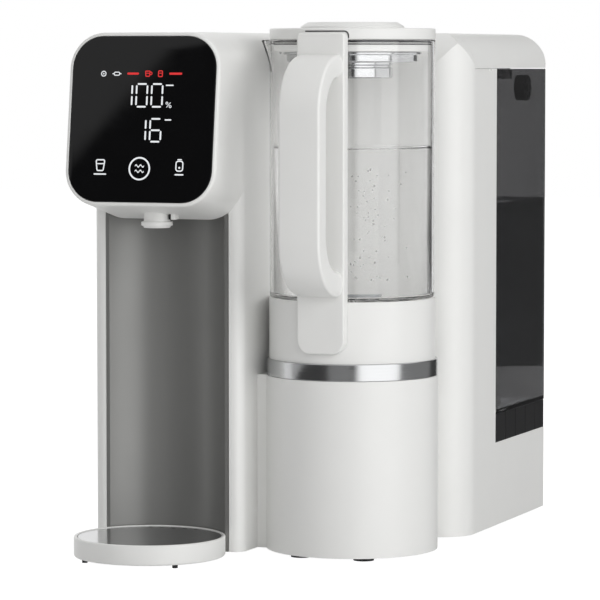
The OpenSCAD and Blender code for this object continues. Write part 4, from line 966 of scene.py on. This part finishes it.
# Studio cards: name, first and last compass angle, brightness of the card and of its strip, the strip's
# middle, half width and soft edge, its lean for each metre of height, and whether clear pieces see the card.
# Angles are in degrees.
CARDS = (
    ("left card", -154.0, -99.0, 0.06, 0.5, -132.3, 12.0, 1.5, -40.0, True),
    ("front card", -99.0, -70.0, 0.28, 0.28, -88.0, 12.0, 4.0, 0.0, True),
    ("softbox front", -70.0, -2.0, 0.06, 1.7, -34.0, 28.0, 4.0, 0.0, True),
    ("right card", -2.0, 58.0, 0.06, 0.28, 26.0, 28.0, 6.0, 0.0, False),
    ("tank card", 58.0, 78.0, 0.06, 0.06, 68.0, 10.0, 4.0, 0.0, True),
    ("rear card", 78.0, 100.0, 0.07, 0.07, 90.0, 12.0, 4.0, 0.0, False),
)
CARD_REACH = 1500.0
CARD_LOW, CARD_HIGH = -700.0, 1300.0
# Height, in metres, at which a leaning strip crosses its middle angle
LEAN_HEIGHT = 0.53


def studio_card(name, start, end, base, strip, middle, half, soft, lean, through):
    """A tall card bent round the object, between two compass angles, that only mirror-like surfaces see, and
    clear ones where through is set. Its strip is where the compass angle, plus the lean times the height,
    is within half a width of the middle, with a smooth step at both edges."""
    turn, height = np.meshgrid(np.radians(np.linspace(start, end, 25)), np.linspace(CARD_LOW, CARD_HIGH, 9),
                               indexing="ij")
    finish = bpy.data.materials.new(name)
    tree = empty_tree(finish)
    place = add(tree, "ShaderNodeSeparateXYZ", {0: add(tree, "ShaderNodeTexCoord").outputs["Object"]})
    angle = add(tree, "ShaderNodeMath", {0: place.outputs["Y"], 1: place.outputs["X"]}, operation="ARCTAN2")
    leant = add(tree, "ShaderNodeMath", {0: place.outputs["Z"], 1: math.radians(lean), 2: angle.outputs[0]},
                operation="MULTIPLY_ADD")
    off = add(tree, "ShaderNodeMath", {0: leant.outputs[0], 1: math.radians(middle + LEAN_HEIGHT * lean)},
              operation="SUBTRACT")
    off = add(tree, "ShaderNodeMath", {0: off.outputs[0]}, operation="ABSOLUTE")
    level = add(tree, "ShaderNodeMapRange", {"Value": off.outputs[0], "From Min": math.radians(half - soft),
                                             "From Max": math.radians(half + soft), "To Min": strip,
                                             "To Max": base}, interpolation_type="SMOOTHSTEP")
    glow = add(tree, "ShaderNodeEmission", {"Color": (1, 1, 1, 1), "Strength": level.outputs[0]})
    add(tree, "ShaderNodeOutputMaterial", {"Surface": glow.outputs[0]})
    points = np.stack([CARD_REACH * np.cos(turn), CARD_REACH * np.sin(turn), height], -1)
    card = stage_sheet(name, points, finish)
    card.visible_camera = False
    card.visible_diffuse = False
    card.visible_shadow = False
    card.visible_transmission = through


def seen_by(tree, *kinds):
    """A number that is 1 for the named kinds of ray and 0 for the others: the largest of their marks."""
    ray = add(tree, "ShaderNodeLightPath")
    seen = ray.outputs[kinds[0]]
    for kind in kinds[1:]:
        seen = add(tree, "ShaderNodeMath", {0: seen, 1: ray.outputs[kind]}, operation="MAXIMUM").outputs[0]
    return seen


class PURIFIER_OT_stage(bpy.types.Operator):
    """Sets the floor, the white surroundings, the soft lamps, the cards and the camera"""
    bl_idname = "purifier.stage"
    bl_label = "Stage"

    def execute(self, context):
        settings, scene = context.scene.purifier_stage, context.scene
        scene.view_settings.view_transform = "Standard"

        # Floor: seen as white, and still darker where the object keeps the light off it
        grey, glow_share, glow_strength = 0.75, 0.6, 1.62
        floor = bpy.data.materials.new("pale studio floor")
        tree = empty_tree(floor)
        share = add(tree, "ShaderNodeMath", {0: seen_by(tree, "Is Camera Ray", "Is Transmission Ray"),
                                             1: glow_share}, operation="MULTIPLY")
        paint = add(tree, "ShaderNodeBsdfDiffuse", {"Color": (grey, grey, grey, 1)})
        glow = add(tree, "ShaderNodeEmission", {"Color": (1, 1, 1, 1), "Strength": glow_strength})
        both = add(tree, "ShaderNodeMixShader", {0: share.outputs[0], 1: paint.outputs[0],
                                                 2: glow.outputs[0]})
        add(tree, "ShaderNodeOutputMaterial", {"Surface": both.outputs[0]})
        across = np.linspace(-6000.0, 6000.0, 13)
        x, y = np.meshgrid(across, across, indexing="ij")
        ground = stage_sheet("floor", np.stack([x, y, np.zeros_like(x)], -1), floor)
        ground.visible_glossy = False

        # Surroundings: white to the eye, in metal and through glass, and a plain soft light elsewhere
        world = bpy.data.worlds.new("white surroundings")
        scene.world = world
        tree = empty_tree(world)
        seen = seen_by(tree, "Is Camera Ray", "Is Glossy Ray", "Is Transmission Ray")
        level = add(tree, "ShaderNodeMapRange", {"Value": seen, "To Min": 0.45, "To Max": 1.0})
        sky = add(tree, "ShaderNodeBackground", {"Color": (1, 1, 1, 1), "Strength": level.outputs[0]})
        add(tree, "ShaderNodeOutputWorld", {"Surface": sky.outputs[0]})

        # Lamps: name, place, width and height in metres, and power; all face one point inside the object
        aim = np.array([0.0, 0.0, 0.19])
        lamps = (("key lamp", (0.84, -1.90, 0.62), (1.3, 1.1), settings.key),
                 ("side softbox", (1.78, -0.91, 0.75), (1.25, 1.3), settings.side),
                 ("fill lamp", (-1.5, 1.15, 0.9), (0.9, 1.3), settings.fill),
                 ("top lamp", (0.1, 0.35, 2.1), (1.4, 1.4), settings.top))
        for name, place, size, power in lamps:
            lamp = bpy.data.lights.new(name, "AREA")
            lamp.shape = "RECTANGLE"
            lamp.size, lamp.size_y = size
            lamp.energy = power
            made = bpy.data.objects.new(name, lamp)
            made.location = place
            made.visible_glossy = False
            made.rotation_euler = Vector(aim - np.array(place)).to_track_quat("-Z", "Y").to_euler()
            scene.collection.objects.link(made)
        for card in CARDS:
            studio_card(*card)

        view = bpy.data.cameras.new("camera")
        view.lens = settings.lens
        view.sensor_width = 36.0
        view.clip_end = 50.0
        eye = bpy.data.objects.new("camera", view)
        eye.location = settings.eye
        eye.rotation_euler = (math.pi / 2 - settings.pitch, 0.0, settings.yaw)
        scene.collection.objects.link(eye)
        scene.camera = eye
        return {"FINISHED"}


class PURIFIER_PT_panel(bpy.types.Panel):
    """Lists the operators and the settings that they read"""
    bl_idname = "PURIFIER_PT_panel"
    bl_label = "Countertop water purifier"
    bl_space_type = "VIEW_3D"
    bl_region_type = "UI"
    bl_category = "Purifier"

    def draw(self, context):
        for made in OPERATORS:
            self.layout.operator(made.bl_idname)
        for group, name in GROUPS.items():
            settings = getattr(context.scene, name)
            for key in group.__annotations__:
                self.layout.prop(settings, key)


GROUPS = {
    FinishColours: "purifier_colours",
    DisplayValues: "purifier_display",
    WaterLevels: "purifier_water",
    StageSettings: "purifier_stage",
}
OPERATORS = (
    PURIFIER_OT_stage,
    PURIFIER_OT_inside,
    PURIFIER_OT_head,
    PURIFIER_OT_display,
    PURIFIER_OT_nozzle,
    PURIFIER_OT_tray,
    PURIFIER_OT_ring,
    PURIFIER_OT_pitcher,
    PURIFIER_OT_pitcher_water,
    PURIFIER_OT_pitcher_handle,
    PURIFIER_OT_pitcher_lid,
    PURIFIER_OT_tank,
    PURIFIER_OT_tank_water,
)


def register():
    """Registers the classes and hangs the settings on the scene."""
    for group, name in GROUPS.items():
        bpy.utils.register_class(group)
        setattr(bpy.types.Scene, name, PointerProperty(type=group))
    for made in (*OPERATORS, PURIFIER_PT_panel):
        bpy.utils.register_class(made)


def unregister():
    """Takes the settings and the classes away again."""
    for made in (PURIFIER_PT_panel, *reversed(OPERATORS)):
        bpy.utils.unregister_class(made)
    for group, name in GROUPS.items():
        delattr(bpy.types.Scene, name)
        bpy.utils.unregister_class(group)


def main():
    """Registers the add-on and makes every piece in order."""
    register()
    for made in OPERATORS:
        family, name = made.bl_idname.split(".")
        getattr(getattr(bpy.ops, family), name)()


if __name__ == "__main__":
    main()
